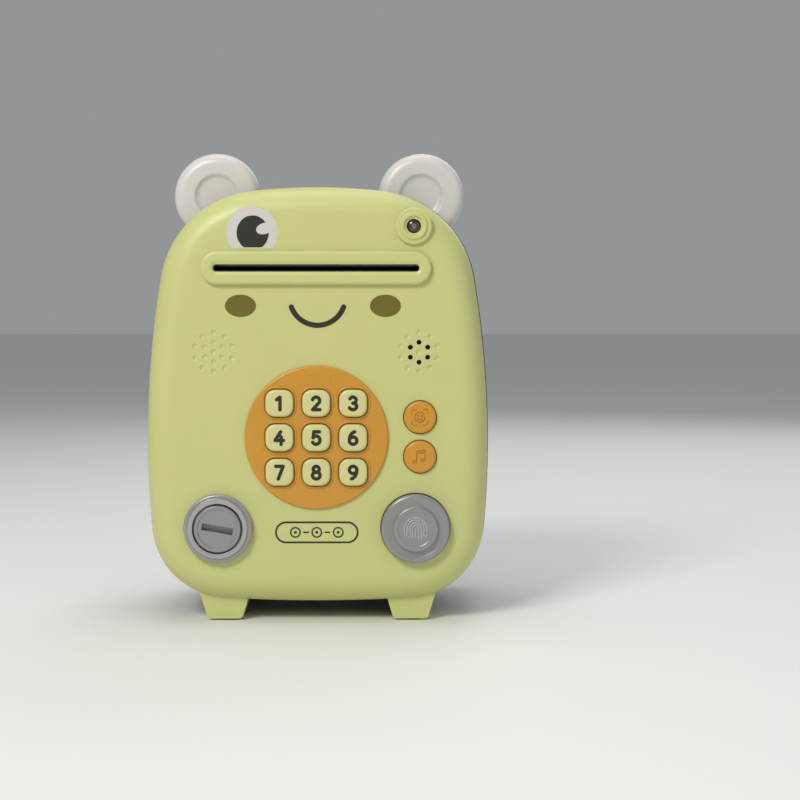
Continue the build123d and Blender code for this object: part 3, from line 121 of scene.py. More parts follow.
def joined_rings(bm, rings, loop=False):
    """Walls between rings of points, with the end rings filled unless they form a loop."""
    verts = [[bm.verts.new(p) for p in ring] for ring in rings]
    following = verts[1:] + verts[:1] if loop else verts[1:]
    for near, far in zip(verts, following):
        for i in range(len(near)):
            j = (i + 1) % len(near)
            bm.faces.new((near[i], near[j], far[j], far[i]))
    if not loop:
        bm.faces.new(verts[0])
        bm.faces.new(list(reversed(verts[-1])))


def body_rings(section):
    """Rings of the body outline, one for each (grow, depth) of a section."""
    return [
        [at(x + grow * nx, depth, z + grow * nz) for x, z, nx, nz in outline]
        for grow, depth in section
    ]


def placed(name, data):
    """A new object in the scene that shows this data."""
    obj = bpy.data.objects.new(name, data)
    bpy.context.scene.collection.objects.link(obj)
    return obj


def made(name, bm):
    """An object from a mesh under construction, its faces turned outwards."""
    bmesh.ops.remove_doubles(bm, verts=bm.verts[:], dist=1e-7)
    bmesh.ops.recalc_face_normals(bm, faces=bm.faces[:])
    mesh = bpy.data.meshes.new(name)
    bm.to_mesh(mesh)
    bm.free()
    return placed(name, mesh)


def settled(obj):
    """Turns an object's modifiers into a plain mesh."""
    graph = bpy.context.evaluated_depsgraph_get()
    mesh = bpy.data.meshes.new_from_object(obj.evaluated_get(graph))
    obj.modifiers.clear()
    obj.data = mesh
    return obj


def combined(obj, other, operation):
    """Cuts or welds one object with another, which is used up."""
    modifier = obj.modifiers.new("combine", "BOOLEAN")
    modifier.operation = operation
    modifier.object = other
    modifier.solver = "EXACT"
    settled(obj)
    bpy.data.objects.remove(other)
    return obj


def eased(obj, width, angle=35, segments=2):
    """Breaks the sharp edges of a moulding by a small radius in millimetres."""
    modifier = obj.modifiers.new("ease", "BEVEL")
    modifier.width = width * mm
    modifier.segments = segments
    modifier.limit_method = "ANGLE"
    modifier.angle_limit = math.radians(angle)
    modifier.use_clamp_overlap = True
    return settled(obj)


def finished(obj, material, body, slot, *stands_for, sharp=32):
    """Smooth shading, material and body of a finished piece; slot is not used."""
    mesh = obj.data
    mesh.materials.clear()
    mesh.materials.append(material)
    mesh.polygons.foreach_set("material_index", [0] * len(mesh.polygons))
    mesh.shade_smooth()
    mesh.set_sharp_from_angle(angle=math.radians(sharp))
    modifier = obj.modifiers.new("even", "WEIGHTED_NORMAL")
    modifier.keep_sharp = True
    settled(obj)
    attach(obj, body)
    if stands_for:
        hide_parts(*stands_for)
    return obj


def prism(bm, loop, front, back):
    """A bar along the depth from a loop of (x, z) points."""
    joined_rings(bm, [[at(x, depth, z) for x, z in loop] for depth in (front, back)])


def circle(x, z, radius, count=64):
    """A circle as a loop of points."""
    steps = [2 * math.pi * i / count for i in range(count)]
    return [(x + radius * math.cos(a), z + radius * math.sin(a)) for a in steps]


def rounded_box(x, z, width, height, corner, count=8):
    """A rectangle with round corners as a loop of points."""
    loop = []
    for turn, (sx, sz) in enumerate(((1, 1), (-1, 1), (-1, -1), (1, -1))):
        for i in range(count + 1):
            a = math.pi / 2 * (turn + i / count)
            cx = x + sx * (width / 2 - corner)
            cz = z + sz * (height / 2 - corner)
            loop.append((cx + corner * math.cos(a), cz + corner * math.sin(a)))
    return loop


def stadium(x, z, length, height, count=16):
    """A round-ended bar's outline, always with the same number of points."""
    return rounded_box(x, z, length, height, height / 2 - 0.001, count)


def foot(side, front, back, bottom):
    """One runner foot: a bar that narrows downwards, with its lower edges rounded."""
    top, inner, outer, corner, steps = 16.5, 30.25, 45.25, 1.8, 6
    flare_at_floor = 2.0
    flare = flare_at_floor * (top - bottom) / shell_bottom
    loop = [(inner - flare, top), (outer + flare, top)]
    for cx, start in ((outer - corner, 0), (inner + corner, -90)):
        for i in range(steps + 1):
            a = math.radians(start - 90 * i / steps)
            loop.append((cx + corner * math.cos(a), bottom + corner + corner * math.sin(a)))
    bm = bmesh.new()
    prism(bm, [(side * x, z) for x, z in loop], front, back)
    return made("foot", bm)


def add(tree, kind, inputs=(), **settings):
    """A node with its settings and, by name, its inputs."""
    made_node = tree.nodes.new(kind)
    for key, value in settings.items():
        setattr(made_node, key, value)
    for key, value in dict(inputs).items():
        made_node.inputs[key].default_value = value
    return made_node


def moulded(
    name, colour, rough=(0.34, 0.46), grain=0.05, glow=0.0, tint=0.035,
    coat=0.0, metal=0.0, rim_highlight=0.0,
):
    """Moulded plastic: a faintly cloudy colour, a spark-eroded grain and slight sink marks.

    colour is linear; rough is the range of roughness; grain the depth of the surface texture;
    glow is the light that passes under the skin of a thin pale moulding; the last setting is
    how much paler the colour is painted along the convex outer edges, a painted highlight that
    stands in for the light the rims catch."""
    material = bpy.data.materials.new(name)
    material.use_nodes = True
    tree = material.node_tree
    skin = tree.nodes["Principled BSDF"]
    place = add(tree, "ShaderNodeTexCoord").outputs["Object"]
    cloud = add(tree, "ShaderNodeTexNoise", {"Scale": 38.0, "Detail": 3.0, "Roughness": 0.55})
    speck = add(tree, "ShaderNodeTexNoise", {"Scale": 900.0, "Detail": 4.0, "Roughness": 0.7})
    spark = add(tree, "ShaderNodeTexNoise", {"Scale": 5200.0, "Detail": 2.0})
    for texture in (cloud, speck, spark):
        tree.links.new(place, texture.inputs["Vector"])
    shade = add(tree, "ShaderNodeMix", data_type="RGBA")
    shade.inputs[6].default_value = (*[c * (1 - tint) for c in colour], 1)
    shade.inputs[7].default_value = (*[min(1.0, c * (1 + tint)) for c in colour], 1)
    tree.links.new(cloud.outputs["Fac"], shade.inputs[0])
    span = {"From Min": 0.3, "From Max": 0.7, "To Min": rough[0], "To Max": rough[1]}
    gloss = add(tree, "ShaderNodeMapRange", span)
    tree.links.new(speck.outputs["Fac"], gloss.inputs["Value"])
    sink = add(tree, "ShaderNodeBump", {"Strength": 0.25, "Distance": 0.0002})
    pits = add(tree, "ShaderNodeBump", {"Strength": grain, "Distance": 0.00006})
    tree.links.new(cloud.outputs["Fac"], sink.inputs["Height"])
    tree.links.new(spark.outputs["Fac"], pits.inputs["Height"])
    tree.links.new(sink.outputs["Normal"], pits.inputs["Normal"])
    # Painted highlight: where the surface is convex (high pointiness) the colour is mixed towards a
    # paler one, standing in for the light that rims catch.
    highlight_mix = add(tree, "ShaderNodeMix", data_type="RGBA")
    highlight_gain, least_bend, full_bend = 1.9, 0.505, 0.56
    highlight_mix.inputs[7].default_value = (*[min(1.0, c * highlight_gain) for c in colour], 1)
    highlight_bend = {"From Min": least_bend, "From Max": full_bend, "To Max": rim_highlight}
    rim_highlight_mask = add(tree, "ShaderNodeMapRange", highlight_bend)
    tree.links.new(add(tree, "ShaderNodeNewGeometry").outputs["Pointiness"], rim_highlight_mask.inputs["Value"])
    tree.links.new(rim_highlight_mask.outputs["Result"], highlight_mix.inputs[0])
    tree.links.new(shade.outputs[2], highlight_mix.inputs[6])
    tree.links.new(highlight_mix.outputs[2], skin.inputs["Base Color"])
    tree.links.new(gloss.outputs["Result"], skin.inputs["Roughness"])
    tree.links.new(pits.outputs["Normal"], skin.inputs["Normal"])
    skin.inputs["Metallic"].default_value = metal
    skin.inputs["Coat Weight"].default_value = coat
    skin.inputs["Coat Roughness"].default_value = 0.2
    skin.inputs["Subsurface Weight"].default_value = glow
    skin.inputs["Subsurface Scale"].default_value = 0.0015
    skin.inputs["Subsurface Radius"].default_value = (1.0, 0.8, 0.4)
    return material


light_green = moulded("light_green_abs", (0.565, 0.582, 0.228), glow=0.10)
green_slot, orange_slot, silver_slot = "light_green_plastic", "orange_plastic", "silver_plastic"
sound_x, sound_z = 41.0, 109.0
button_x, face_button_z, music_button_z = 41.4, 83.0, 67.2
lock_x, fingerprint_x, knob_z = -39.5, 39.6, 38.5
sensor_x, sensor_z = 38.9, 159.1
slot_z, keypad_z = 142.5, 74.9
key_across, key_up = 14.7, 13.8
key_places = [(c * key_across, keypad_z - r * key_up) for r in (-1, 0, 1) for c in (-1, 0, 1)]
key_width, key_height, key_corner, key_gap = 11.2, 10.8, 3.8, 0.3
button_radius, knob_radius = 6.5, 13.75
slot_length, slot_height = 82.2, 2.85
collar_length, collar_height = 87.0, 7.0
lock_collar, sensor_barrel = 11.5, 4.6
ball_radius, bore_radius = 1.5725, 1.0
inner_ring, outer_ring, dent_depth = 4.0, 7.7, 0.5


def node_group(name, sockets):
    """A geometry tree with named inputs, each (name, socket type, default)."""
    tree = bpy.data.node_groups.new(name, "GeometryNodeTree")
    tree.interface.new_socket("Geometry", in_out="OUTPUT", socket_type="NodeSocketGeometry")
    for label, kind, default in sockets:
        socket = tree.interface.new_socket(label, in_out="INPUT", socket_type=kind)
        if kind != "NodeSocketMaterial":
            socket.default_value = default
    return tree, add(tree, "NodeGroupInput"), add(tree, "NodeGroupOutput")


def grown(name, tree, values):
    """The plain mesh that a geometry tree makes with these input values."""
    obj = placed(name, bpy.data.meshes.new(name))
    modifier = obj.modifiers.new("grow", "NODES")
    modifier.node_group = tree
    for item in tree.interface.items_tree:
        if item.in_out == "INPUT" and item.name in values:
            modifier[item.identifier] = values[item.name]
    return settled(obj)


def sound_pattern_tree():
    """Cutters of one sound pattern: a centre, an inner ring of six and an outer ring of ten."""
    tree, given, out = node_group("sound_pattern", [
        ("Place", "NodeSocketVector", (0.0, 0.0, 0.0)),
        ("Inner Ring", "NodeSocketFloat", inner_ring * mm),
        ("Outer Ring", "NodeSocketFloat", outer_ring * mm),
        ("Ball Radius", "NodeSocketFloat", ball_radius * mm),
        ("Bore Radius", "NodeSocketFloat", bore_radius * mm),
        ("Bored", "NodeSocketBool", False),
        ("Material", "NodeSocketMaterial", None),
    ])
    link = tree.links.new
    ball = add(tree, "GeometryNodeMeshUVSphere", {"Segments": 24, "Rings": 16})
    bore = add(tree, "GeometryNodeMeshCylinder", {"Vertices": 24, "Depth": 0.009})
    link(given.outputs["Ball Radius"], ball.inputs["Radius"])
    link(given.outputs["Bore Radius"], bore.inputs["Radius"])
    choose = add(tree, "GeometryNodeSwitch", input_type="GEOMETRY")
    link(given.outputs["Bored"], choose.inputs["Switch"])
    link(ball.outputs["Mesh"], choose.inputs["False"])
    link(bore.outputs["Mesh"], choose.inputs["True"])
    inner = add(tree, "GeometryNodeMeshCircle", {"Vertices": 6})
    outer = add(tree, "GeometryNodeMeshCircle", {"Vertices": 10})
    middle = add(tree, "GeometryNodeMeshLine", {"Count": 1})
    link(given.outputs["Inner Ring"], inner.inputs["Radius"])
    link(given.outputs["Outer Ring"], outer.inputs["Radius"])
    join = add(tree, "GeometryNodeJoinGeometry")
    dent, hole = ball.outputs["Mesh"], choose.outputs["Output"]
    for ring, cutter in ((middle, dent), (inner, hole), (outer, dent)):
        spread = add(tree, "GeometryNodeInstanceOnPoints")
        link(ring.outputs["Mesh"], spread.inputs["Points"])
        link(cutter, spread.inputs["Instance"])
        link(spread.outputs["Instances"], join.inputs["Geometry"])
    first_on_top = add(tree, "GeometryNodeTransform", {"Rotation": (0.0, 0.0, math.pi / 2)})
    upright = add(tree, "GeometryNodeTransform", {"Rotation": (math.pi / 2, 0.0, 0.0)})
    link(join.outputs["Geometry"], first_on_top.inputs["Geometry"])
    link(first_on_top.outputs["Geometry"], upright.inputs["Geometry"])
    link(given.outputs["Place"], upright.inputs["Translation"])
    real = add(tree, "GeometryNodeRealizeInstances")
    paint = add(tree, "GeometryNodeSetMaterial")
    link(upright.outputs["Geometry"], real.inputs["Geometry"])
    link(real.outputs["Geometry"], paint.inputs["Geometry"])
    link(given.outputs["Material"], paint.inputs["Material"])
    link(paint.outputs["Geometry"], out.inputs["Geometry"])
    return tree


def key_opening(bm, x, z, front, back):
    """The cutter of one key opening, a little larger than the key all round."""
    width, height = key_width + 2 * key_gap, key_height + 2 * key_gap
    prism(bm, rounded_box(x, z, width, height, key_corner + key_gap), front, back)


edge_radius, wall, rear_flare, rear_edge = 10.5, 2.2, 1.2, 0.3
shell_depth, straight_from = 20.0, 15.0
section = rounding(edge_radius, -edge_radius, edge_radius, -90, 0)
section += [(0.0, straight_from), (0.0, shell_depth - rear_edge), (-rear_edge, shell_depth)]
section += [(-wall + rear_flare, shell_depth), (-wall, shell_depth - rear_flare)]
section += [(-wall, straight_from)]
section += rounding(edge_radius - wall, -edge_radius, edge_radius, 0, -90)
bm = bmesh.new()
joined_rings(bm, body_rings(section))
shell = made("front_shell_moulding", bm)
for side in (-1, 1):
    combined(shell, foot(side, 6.5, shell_depth, 0.6), "UNION")
bm = bmesh.new()
joined_rings(bm, body_rings([(-wall - 0.01, wall + 4.0), (-wall - 0.01, shell_depth + 1.0)]))
combined(shell, made("hollow", bm), "DIFFERENCE")
bm = bmesh.new()
seat_gap, button_gap, knob_gap = 0.1, 0.35, 0.4
cut_front, cut_back = -1.0, wall + 1.0
mouth = stadium(0, slot_z, collar_length + 2 * seat_gap, collar_height + 2 * seat_gap)
prism(bm, mouth, cut_front, cut_back)
prism(bm, circle(sensor_x, sensor_z, sensor_barrel + seat_gap), cut_front, 6.0)
for z in (face_button_z, music_button_z):
    prism(bm, circle(button_x, z, button_radius + button_gap, 80), cut_front, cut_back)
prism(bm, circle(lock_x, knob_z, lock_collar + seat_gap, 96), cut_front, cut_back)
prism(bm, circle(fingerprint_x, knob_z, knob_radius + knob_gap, 112), cut_front, cut_back)
for x, z in key_places:
    key_opening(bm, x, z, cut_front, cut_back)
combined(shell, made("openings", bm), "DIFFERENCE")
eased(shell, 0.3)
sound_pattern = sound_pattern_tree()
for side in (-1, 1):
    dents = grown("dents", sound_pattern, {
        "Place": at(side * sound_x, dent_depth - ball_radius, sound_z),
        "Bored": side > 0,
        "Material": light_green,
    })
    combined(shell, dents, "DIFFERENCE")
finished(shell, light_green, "door", green_slot, "front_shell")

# Note slot frame: a raised round-ended frame clipped into the shell, moulded in the same
# light green, with its mouth chamfered so that a banknote finds its way in.
frame_length, frame_height, on_face = 92.0, 13.4, -0.02
ring_sizes = [(slot_length, slot_height, wall), (slot_length, slot_height, -1.5)]
ring_sizes += [(82.5, 3.15, -1.85), (84.3, 5.1, -2.2), (84.9, 5.7, -2.4)]
for grow, depth in rounding(1.3, -1.3, -1.1, -90, 0, 6):
    ring_sizes.append((frame_length + 2 * grow, frame_height + 2 * grow, depth))
ring_sizes += [(frame_length, frame_height, on_face), (collar_length, collar_height, on_face)]
ring_sizes += [(collar_length, collar_height, wall)]
rings = [[at(x, d, z) for x, z in stadium(0, slot_z, w, h)] for w, h, d in ring_sizes]
bm = bmesh.new()
joined_rings(bm, rings, loop=True)
finished(made("note_slot_frame", bm), light_green, "door", green_slot, "slot_bezel")

# Face-scan sensor: a stepped light green boss with a fine groove, and a smoky domed lens
# pushed in from behind. A small lamp behind the lens makes its middle look paler.


def turned(bm, x, z, section, loop=False, count=96):
    """A round piece on an axis along the depth, from (radius, depth) pairs; radius 0 closes it."""
    rows = []
    for radius, depth in section:
        points = circle(x, z, radius, count) if radius else [(x, z)]
        rows.append([bm.verts.new(at(px, depth, pz)) for px, pz in points])
    following = rows[1:] + rows[:1] if loop else rows[1:]
    for near, far in zip(rows, following):
        for i in range(count):
            j = (i + 1) % count
            corners = [near[i % len(near)], near[j % len(near)]]
            corners += [far[j % len(far)], far[i % len(far)]]
            bm.faces.new(list(dict.fromkeys(corners)))


boss = [(sensor_barrel, 4.7), (sensor_barrel, 0.02), (7.4, 0.02), (7.4, -0.9), (7.25, -1.3)]
boss += [(6.9, -1.58), (6.5, -1.62), (5.9, -1.55), (5.5, -1.65), (5.3, -1.95), (5.22, -2.25)]
boss += [(5.0, -2.4), (4.2, -2.4), (3.95, -2.3), (3.85, -2.1), (3.85, -1.6)]
boss += [(3.6, -1.5), (2.95, -1.5), (2.85, -1.4), (2.85, 4.7)]
bm = bmesh.new()
turned(bm, sensor_x, sensor_z, boss, loop=True)
finished(made("sensor_boss", bm), light_green, "door", green_slot, "sensor_ring")
smoked = moulded(
    "smoked_lens", (0.030, 0.018, 0.012), rough=(0.06, 0.12), grain=0.0, tint=0.3, coat=1.0
)
lens = [(0.0, -1.5), (0.5, -1.49), (1.0, -1.44), (1.5, -1.34), (2.0, -1.15), (2.4, -0.85)]
lens += [(2.65, -0.5), (2.75, 0.0), (2.75, 4.7), (3.65, 4.7), (3.65, 6.2), (0.0, 6.2)]
bm = bmesh.new()
turned(bm, sensor_x, sensor_z, lens)
finished(made("sensor_lens_dome", bm), smoked, "door", "smoked_plastic", "sensor_lens")
lamp = moulded("lamp_behind_lens", (0.20, 0.13, 0.09), rough=(0.2, 0.3), coat=0.6)
bm = bmesh.new()
bulb = [(0.0, -1.56), (0.5, -1.54), (0.85, -1.49), (1.0, -1.42), (0.9, -1.2), (0.0, -1.2)]
turned(bm, sensor_x, sensor_z, bulb, count=48)
finished(made("sensor_lamp", bm), lamp, "door", "smoked_plastic")

# Printed face: tampo ink in white, black and olive, a few hundredths thick, laid on the
# shell before the other parts are fitted. It is one eye beside the slot, cheeks and a smile.


def arc(cx, cz, rx, rz, start, end, steps=20):
    """Points along an elliptical arc, angles in degrees."""
    angles = [math.radians(start + (end - start) * i / steps) for i in range(steps + 1)]
    return [(cx + rx * math.cos(a), cz + rz * math.sin(a)) for a in angles]


def shifted(points, x, z, scale=1.0):
    """Points scaled about the origin and then moved."""
    return [(x + px * scale, z + pz * scale) for px, pz in points]


def ribbon(points, half_width, cap=8):
    """The outline of a smooth stroke with round ends."""
    line = [Vector(p) for p in points]
    left, right = [], []
    for i, p in enumerate(line):
        along = (line[min(i + 1, len(line) - 1)] - line[max(i - 1, 0)]).normalized()
        side = Vector((-along.y, along.x)) * half_width
        left.append(p + side)
        right.append(p - side)
    ends = []
    for p, out in ((line[-1], line[-1] - line[-2]), (line[0], line[0] - line[1])):
        base = math.atan2(out.y, out.x) + math.pi / 2
        angles = [base - math.pi * i / cap for i in range(1, cap)]
        ends.append([p + half_width * Vector((math.cos(a), math.sin(a))) for a in angles])
    return [tuple(p) for p in left + ends[0] + right[::-1] + ends[1]]


def stroke(points, width):
    """Outlines of a stroke: one ribbon for each smooth run that turns less than a half circle."""
    sharp_turn, longest_turn = math.radians(28), math.radians(170)
    runs, run, turned_by = [], [points[0], points[1]], 0.0
    for p in points[2:]:
        turn = (Vector(run[-1]) - Vector(run[-2])).angle(Vector(p) - Vector(run[-1]))
        turned_by += turn
        if turn > sharp_turn or turned_by > longest_turn:
            runs.append(run)
            run, turned_by = [run[-1]], 0.0
        run.append(p)
    return [ribbon(r, width / 2) for r in runs + [run]]


def printed(name, loops, depth, material, body, slot, thickness=0.15):
    """Overlapping outlines merged into one flat layer whose front lies at a depth."""
    coords, faces = [], []
    for loop in loops:
        turn = sum(a[0] * b[1] - b[0] * a[1] for a, b in zip(loop, loop[1:] + loop[:1]))
        if turn < 0:
            loop = loop[::-1]
        faces.append(list(range(len(coords), len(coords) + len(loop))))
        coords += [Vector(p) for p in loop]
    verts, _, triangles, _, _, sources = delaunay_2d_cdt(coords, [], faces, 1, 1e-5, True)
    bm = bmesh.new()
    new = [bm.verts.new(at(v.x, depth, v.y)) for v in verts]
    for triangle, source in zip(triangles, sources):
        if source:
            bm.faces.new([new[i] for i in triangle])
    loose = [v for v in bm.verts if not v.link_faces]
    bmesh.ops.delete(bm, geom=loose, context="VERTS")
    raised = bmesh.ops.extrude_face_region(bm, geom=bm.faces[:])["geom"]
    back = [v for v in raised if isinstance(v, bmesh.types.BMVert)]
    bmesh.ops.translate(bm, verts=back, vec=(0, thickness * mm, 0))
    return finished(made(name, bm), material, body, slot)


ink_black = moulded("black_ink", (0.016, 0.016, 0.009), rough=(0.38, 0.5), grain=0.03, tint=0.12)
ink_white = moulded("white_ink", (0.61, 0.59, 0.55), rough=(0.36, 0.48), grain=0.03, tint=0.02)
ink_olive = moulded("olive_ink", (0.140, 0.118, 0.006), rough=(0.4, 0.5), grain=0.03, tint=0.06)
eye_x, eye_z, eye_radius, eye_floor = -25.4, 156.7, 10.35, 150.3
white = [(x, max(z, eye_floor)) for x, z in circle(eye_x, eye_z, eye_radius, 96)]
printed("eye_white", [white], -0.04, ink_white, "door", green_slot)
pupil_oval = arc(-25.2, 156.5, 6.4, 6.9, 0, 360, 72)[:-1]
pupil = [(x, max(z, eye_floor + 0.4)) for x, z in pupil_oval]
printed("eye_pupil", [pupil], -0.07, ink_black, "door", green_slot, 0.1)


def leaning(points, x, z, degrees):
    """Points turned anticlockwise about the origin and then moved."""
    cos, sin = math.cos(math.radians(degrees)), math.sin(math.radians(degrees))
    return [(x + px * cos - pz * sin, z + px * sin + pz * cos) for px, pz in points]


glint = leaning(arc(0, 0, 3.4, 2.2, 0, 360, 40)[:-1], -20.5, 158.2, 17)
printed("eye_glint", [glint], -0.10, ink_white, "door", green_slot, 0.1)
cheek_z, cheek_width, cheek_height = 127.5, 6.2, 4.45
cheeks = [arc(x, cheek_z, cheek_width, cheek_height, 0, 360, 56)[:-1] for x in (-30.2, 27.6)]
printed("cheeks", cheeks, -0.05, ink_olive, "door", green_slot)
smile_x, smile_low, smile_radius, smile_width = 0.5, 118.7, 11.1, 2.1
smile_z = smile_low + smile_width / 2 + smile_radius
smile = arc(smile_x, smile_z, smile_radius, smile_radius, 200, 340, 40)
printed("smile", stroke(smile, smile_width), -0.05, ink_black, "door", green_slot)

# Keypad disc: one round orange moulding with nine openings, each with a low lip, held by
# four pegs in the shell. The rim is rounded over.
orange = moulded("orange_abs", (0.590, 0.283, 0.030), rough=(0.24, 0.36), glow=0.06)
disc_radius, disc_rise, rim_round = 28.8, 1.3, 0.9
disc = [(0.0, on_face), (disc_radius, on_face), (disc_radius, rim_round - disc_rise)]
disc += rounding(rim_round, disc_radius - rim_round, rim_round - disc_rise, 0, -90, 6)[1:]
disc += [(0.0, -disc_rise)]
bm = bmesh.new()
turned(bm, 0, keypad_z, disc, count=144)
plate = made("keypad_disc", bm)
bm = bmesh.new()
for x, z in key_places:
    key_opening(bm, x, z, -3.0, 1.0)
combined(plate, made("key_openings", bm), "DIFFERENCE")
eased(plate, 0.22, angle=50)
finished(plate, orange, "door", orange_slot, "keypad_plate")


def key_lips_tree():
    """One rounded-square lip instanced over a grid of key openings."""
    tree, given, out = node_group("key_lips", [
        ("Place", "NodeSocketVector", (0.0, 0.0, 0.0)),
        ("Across", "NodeSocketFloat", key_across * mm),
        ("Up", "NodeSocketFloat", key_up * mm),
        ("Width", "NodeSocketFloat", 0.0129),
        ("Height", "NodeSocketFloat", 0.0125),
        ("Corner", "NodeSocketFloat", 0.0046),
        ("Lip", "NodeSocketFloat", 0.00042),
        ("Material", "NodeSocketMaterial", None),
    ])
    link = tree.links.new
    grid = add(tree, "GeometryNodeMeshGrid", {"Vertices X": 3, "Vertices Y": 3})
    for axis, label in (("Size X", "Across"), ("Size Y", "Up")):
        double = add(tree, "ShaderNodeMath", operation="MULTIPLY")
        double.inputs[1].default_value = 2.0
        link(given.outputs[label], double.inputs[0])
        link(double.outputs[0], grid.inputs[axis])
    square = add(tree, "GeometryNodeCurvePrimitiveQuadrilateral")
    link(given.outputs["Width"], square.inputs["Width"])
    link(given.outputs["Height"], square.inputs["Height"])
    soften = add(tree, "GeometryNodeFilletCurve", {"Count": 8}, mode="POLY")
    link(square.outputs["Curve"], soften.inputs["Curve"])
    link(given.outputs["Corner"], soften.inputs["Radius"])
    bead = add(tree, "GeometryNodeCurvePrimitiveCircle", {"Resolution": 12})
    link(given.outputs["Lip"], bead.inputs["Radius"])
    lip = add(tree, "GeometryNodeCurveToMesh")
    link(soften.outputs["Curve"], lip.inputs["Curve"])
    link(bead.outputs["Curve"], lip.inputs["Profile Curve"])
    spread = add(tree, "GeometryNodeInstanceOnPoints")
    link(grid.outputs["Mesh"], spread.inputs["Points"])
    link(lip.outputs["Mesh"], spread.inputs["Instance"])
    upright = add(tree, "GeometryNodeTransform", {"Rotation": (math.pi / 2, 0.0, 0.0)})
    link(spread.outputs["Instances"], upright.inputs["Geometry"])
    link(given.outputs["Place"], upright.inputs["Translation"])
    real = add(tree, "GeometryNodeRealizeInstances")
    paint = add(tree, "GeometryNodeSetMaterial")
    link(upright.outputs["Geometry"], real.inputs["Geometry"])
    link(real.outputs["Geometry"], paint.inputs["Geometry"])
    link(given.outputs["Material"], paint.inputs["Material"])
    link(paint.outputs["Geometry"], out.inputs["Geometry"])
    return tree


lip_place = {"Place": at(0, -1.28, keypad_z), "Material": orange}
lips = grown("keypad_lips", key_lips_tree(), lip_place)
finished(lips, orange, "door", orange_slot)

# Keys: nine soft-edged caps in light green, each with a flange behind the shell and a stem
# on the rubber mat, and a printed digit from 1 to 9.
key_green = moulded("key_green_abs", (0.640, 0.610, 0.275), rough=(0.28, 0.4), glow=0.10)
digits = {
    1: [[(-1.0, 1.45), (0.35, 2.5), (0.35, -2.55)]],
    2: [arc(0, 1.1, 1.42, 1.42, 165, -38) + [(-1.4, -2.5), (1.5, -2.5)]],
    3: [arc(-0.05, 1.3, 1.3, 1.25, 155, -90) + arc(-0.05, -1.2, 1.5, 1.3, 90, -155)[1:]],
    4: [[(0.55, 2.5), (-1.65, -0.95), (1.7, -0.95)], [(0.75, 0.5), (0.75, -2.55)]],
    5: [[(1.35, 2.5), (-0.95, 2.5), (-1.2, 0.1)] + arc(-0.05, -0.85, 1.55, 1.65, 140, -150)[1:]],
    6: [arc(0, -1.05, 1.5, 1.45, 180, -180, 36), arc(1.1, -1.05, 2.6, 3.6, 180, 100, 14)],
    7: [[(-1.45, 2.5), (1.5, 2.5), (-0.45, -2.55)]],
    8: [arc(0, 1.3, 1.2, 1.2, 90, 450, 30), arc(0, -1.15, 1.5, 1.4, 90, 450, 34)],
    9: [arc(0, 1.05, 1.5, 1.45, 0, 360, 36), arc(-1.1, 1.05, 2.6, 3.6, 0, -80, 14)],
}
flange_front, flange_back, stem_back, stem_radius, key_flange = 2.3, 3.3, 4.5, 2.0, 0.8
key_round, key_face, digit_width = 1.1, -3.3, 1.4
wide, high = key_width + 2 * key_flange, key_height + 2 * key_flange
key_rings = [(wide, high, key_corner, flange_back), (wide, high, key_corner, flange_front)]
key_rings += [(key_width, key_height, key_corner, depth) for depth in (flange_front, -1.0)]
for grow, depth in rounding(key_round, -key_round, key_face + key_round, 0, -90, 6):
    corner = key_corner + grow * 0.6
    key_rings.append((key_width + 2 * grow, key_height + 2 * grow, corner, depth))
key_rings.append((6.0, 5.6, 2.0, key_face))
stem = [(0.0, flange_back), (stem_radius, flange_back), (stem_radius, stem_back), (0.0, stem_back)]
for number, (x, z) in enumerate(key_places, 1):
    rings = [[at(px, d, pz) for px, pz in rounded_box(x, z, w, h, c)] for w, h, c, d in key_rings]
    bm = bmesh.new()
    joined_rings(bm, rings)
    turned(bm, x, z, stem, count=32)
    body = f"key_{number}"
    finished(made(f"key_cap_{number}", bm), key_green, body, green_slot, body)
    lines = [shifted(line, x, z) for line in digits[number]]
    outlines = [loop for line in lines for loop in stroke(line, digit_width)]
    printed(f"digit_{number}", outlines, key_face - 0.04, ink_black, body, green_slot, 0.12)

# Two round buttons in orange, slightly domed, each with a mark sunk into its cap: corner
# brackets round a little face above, a pair of notes below.


def bead(bm, points, radius, depth, sides=10):
    """A half-sunk round bead along a line of (x, z) points, with round ends unless it closes."""
    line = [Vector(p) for p in points]
    closed = (line[0] - line[-1]).length < 1e-4
    if closed:
        line = line[:-1]
    start, end = (line[0] - line[1]).normalized(), (line[-1] - line[-2]).normalized()
    rows = []
    for i, p in enumerate(line):
        before = line[i - 1] if closed else line[max(i - 1, 0)]
        after = line[(i + 1) % len(line)] if closed else line[min(i + 1, len(line) - 1)]
        rows.append((p, (before - after).normalized(), radius))
    for fall in () if closed else (25, 50, 80):
        a = math.radians(fall)
        past, size = radius * math.sin(a), radius * math.cos(a)
        rows.insert(0, (line[0] + start * past, start, size))
        rows.append((line[-1] + end * past, -end, size))
    rings = []
    for p, along, size in rows:
        across = Vector((-along.y, along.x))
        ring = []
        for i in range(sides):
            a = 2 * math.pi * i / sides
            q = p + across * size * math.cos(a)
            ring.append(at(q.x, depth - size * math.sin(a), q.y))
        rings.append(ring)
    joined_rings(bm, rings, closed)


def domed_button(name, z, marks, node):
    """A push button with a domed cap and marks cut into it, each a line of (x, z) points."""
    flange_radius, mark_radius, mark_depth = 7.25, 0.34, -1.74
    section = [(0.0, -1.85), (2.5, -1.83), (4.6, -1.74), (5.4, -1.68)]
    section += rounding(1.1, 5.4, -0.6, -84, 0, 6) + [(button_radius, flange_front)]
    section += [(flange_radius, flange_front), (flange_radius, flange_back)]
    section += [(stem_radius, flange_back), (stem_radius, stem_back), (0.0, stem_back)]
    bm = bmesh.new()
    turned(bm, button_x, z, section, count=80)
    cap = made(name, bm)
    for line in marks:
        bm = bmesh.new()
        bead(bm, shifted(line, button_x, z), mark_radius, mark_depth)
        combined(cap, made("engraving", bm), "DIFFERENCE")
    finished(cap, orange, node, orange_slot, node)


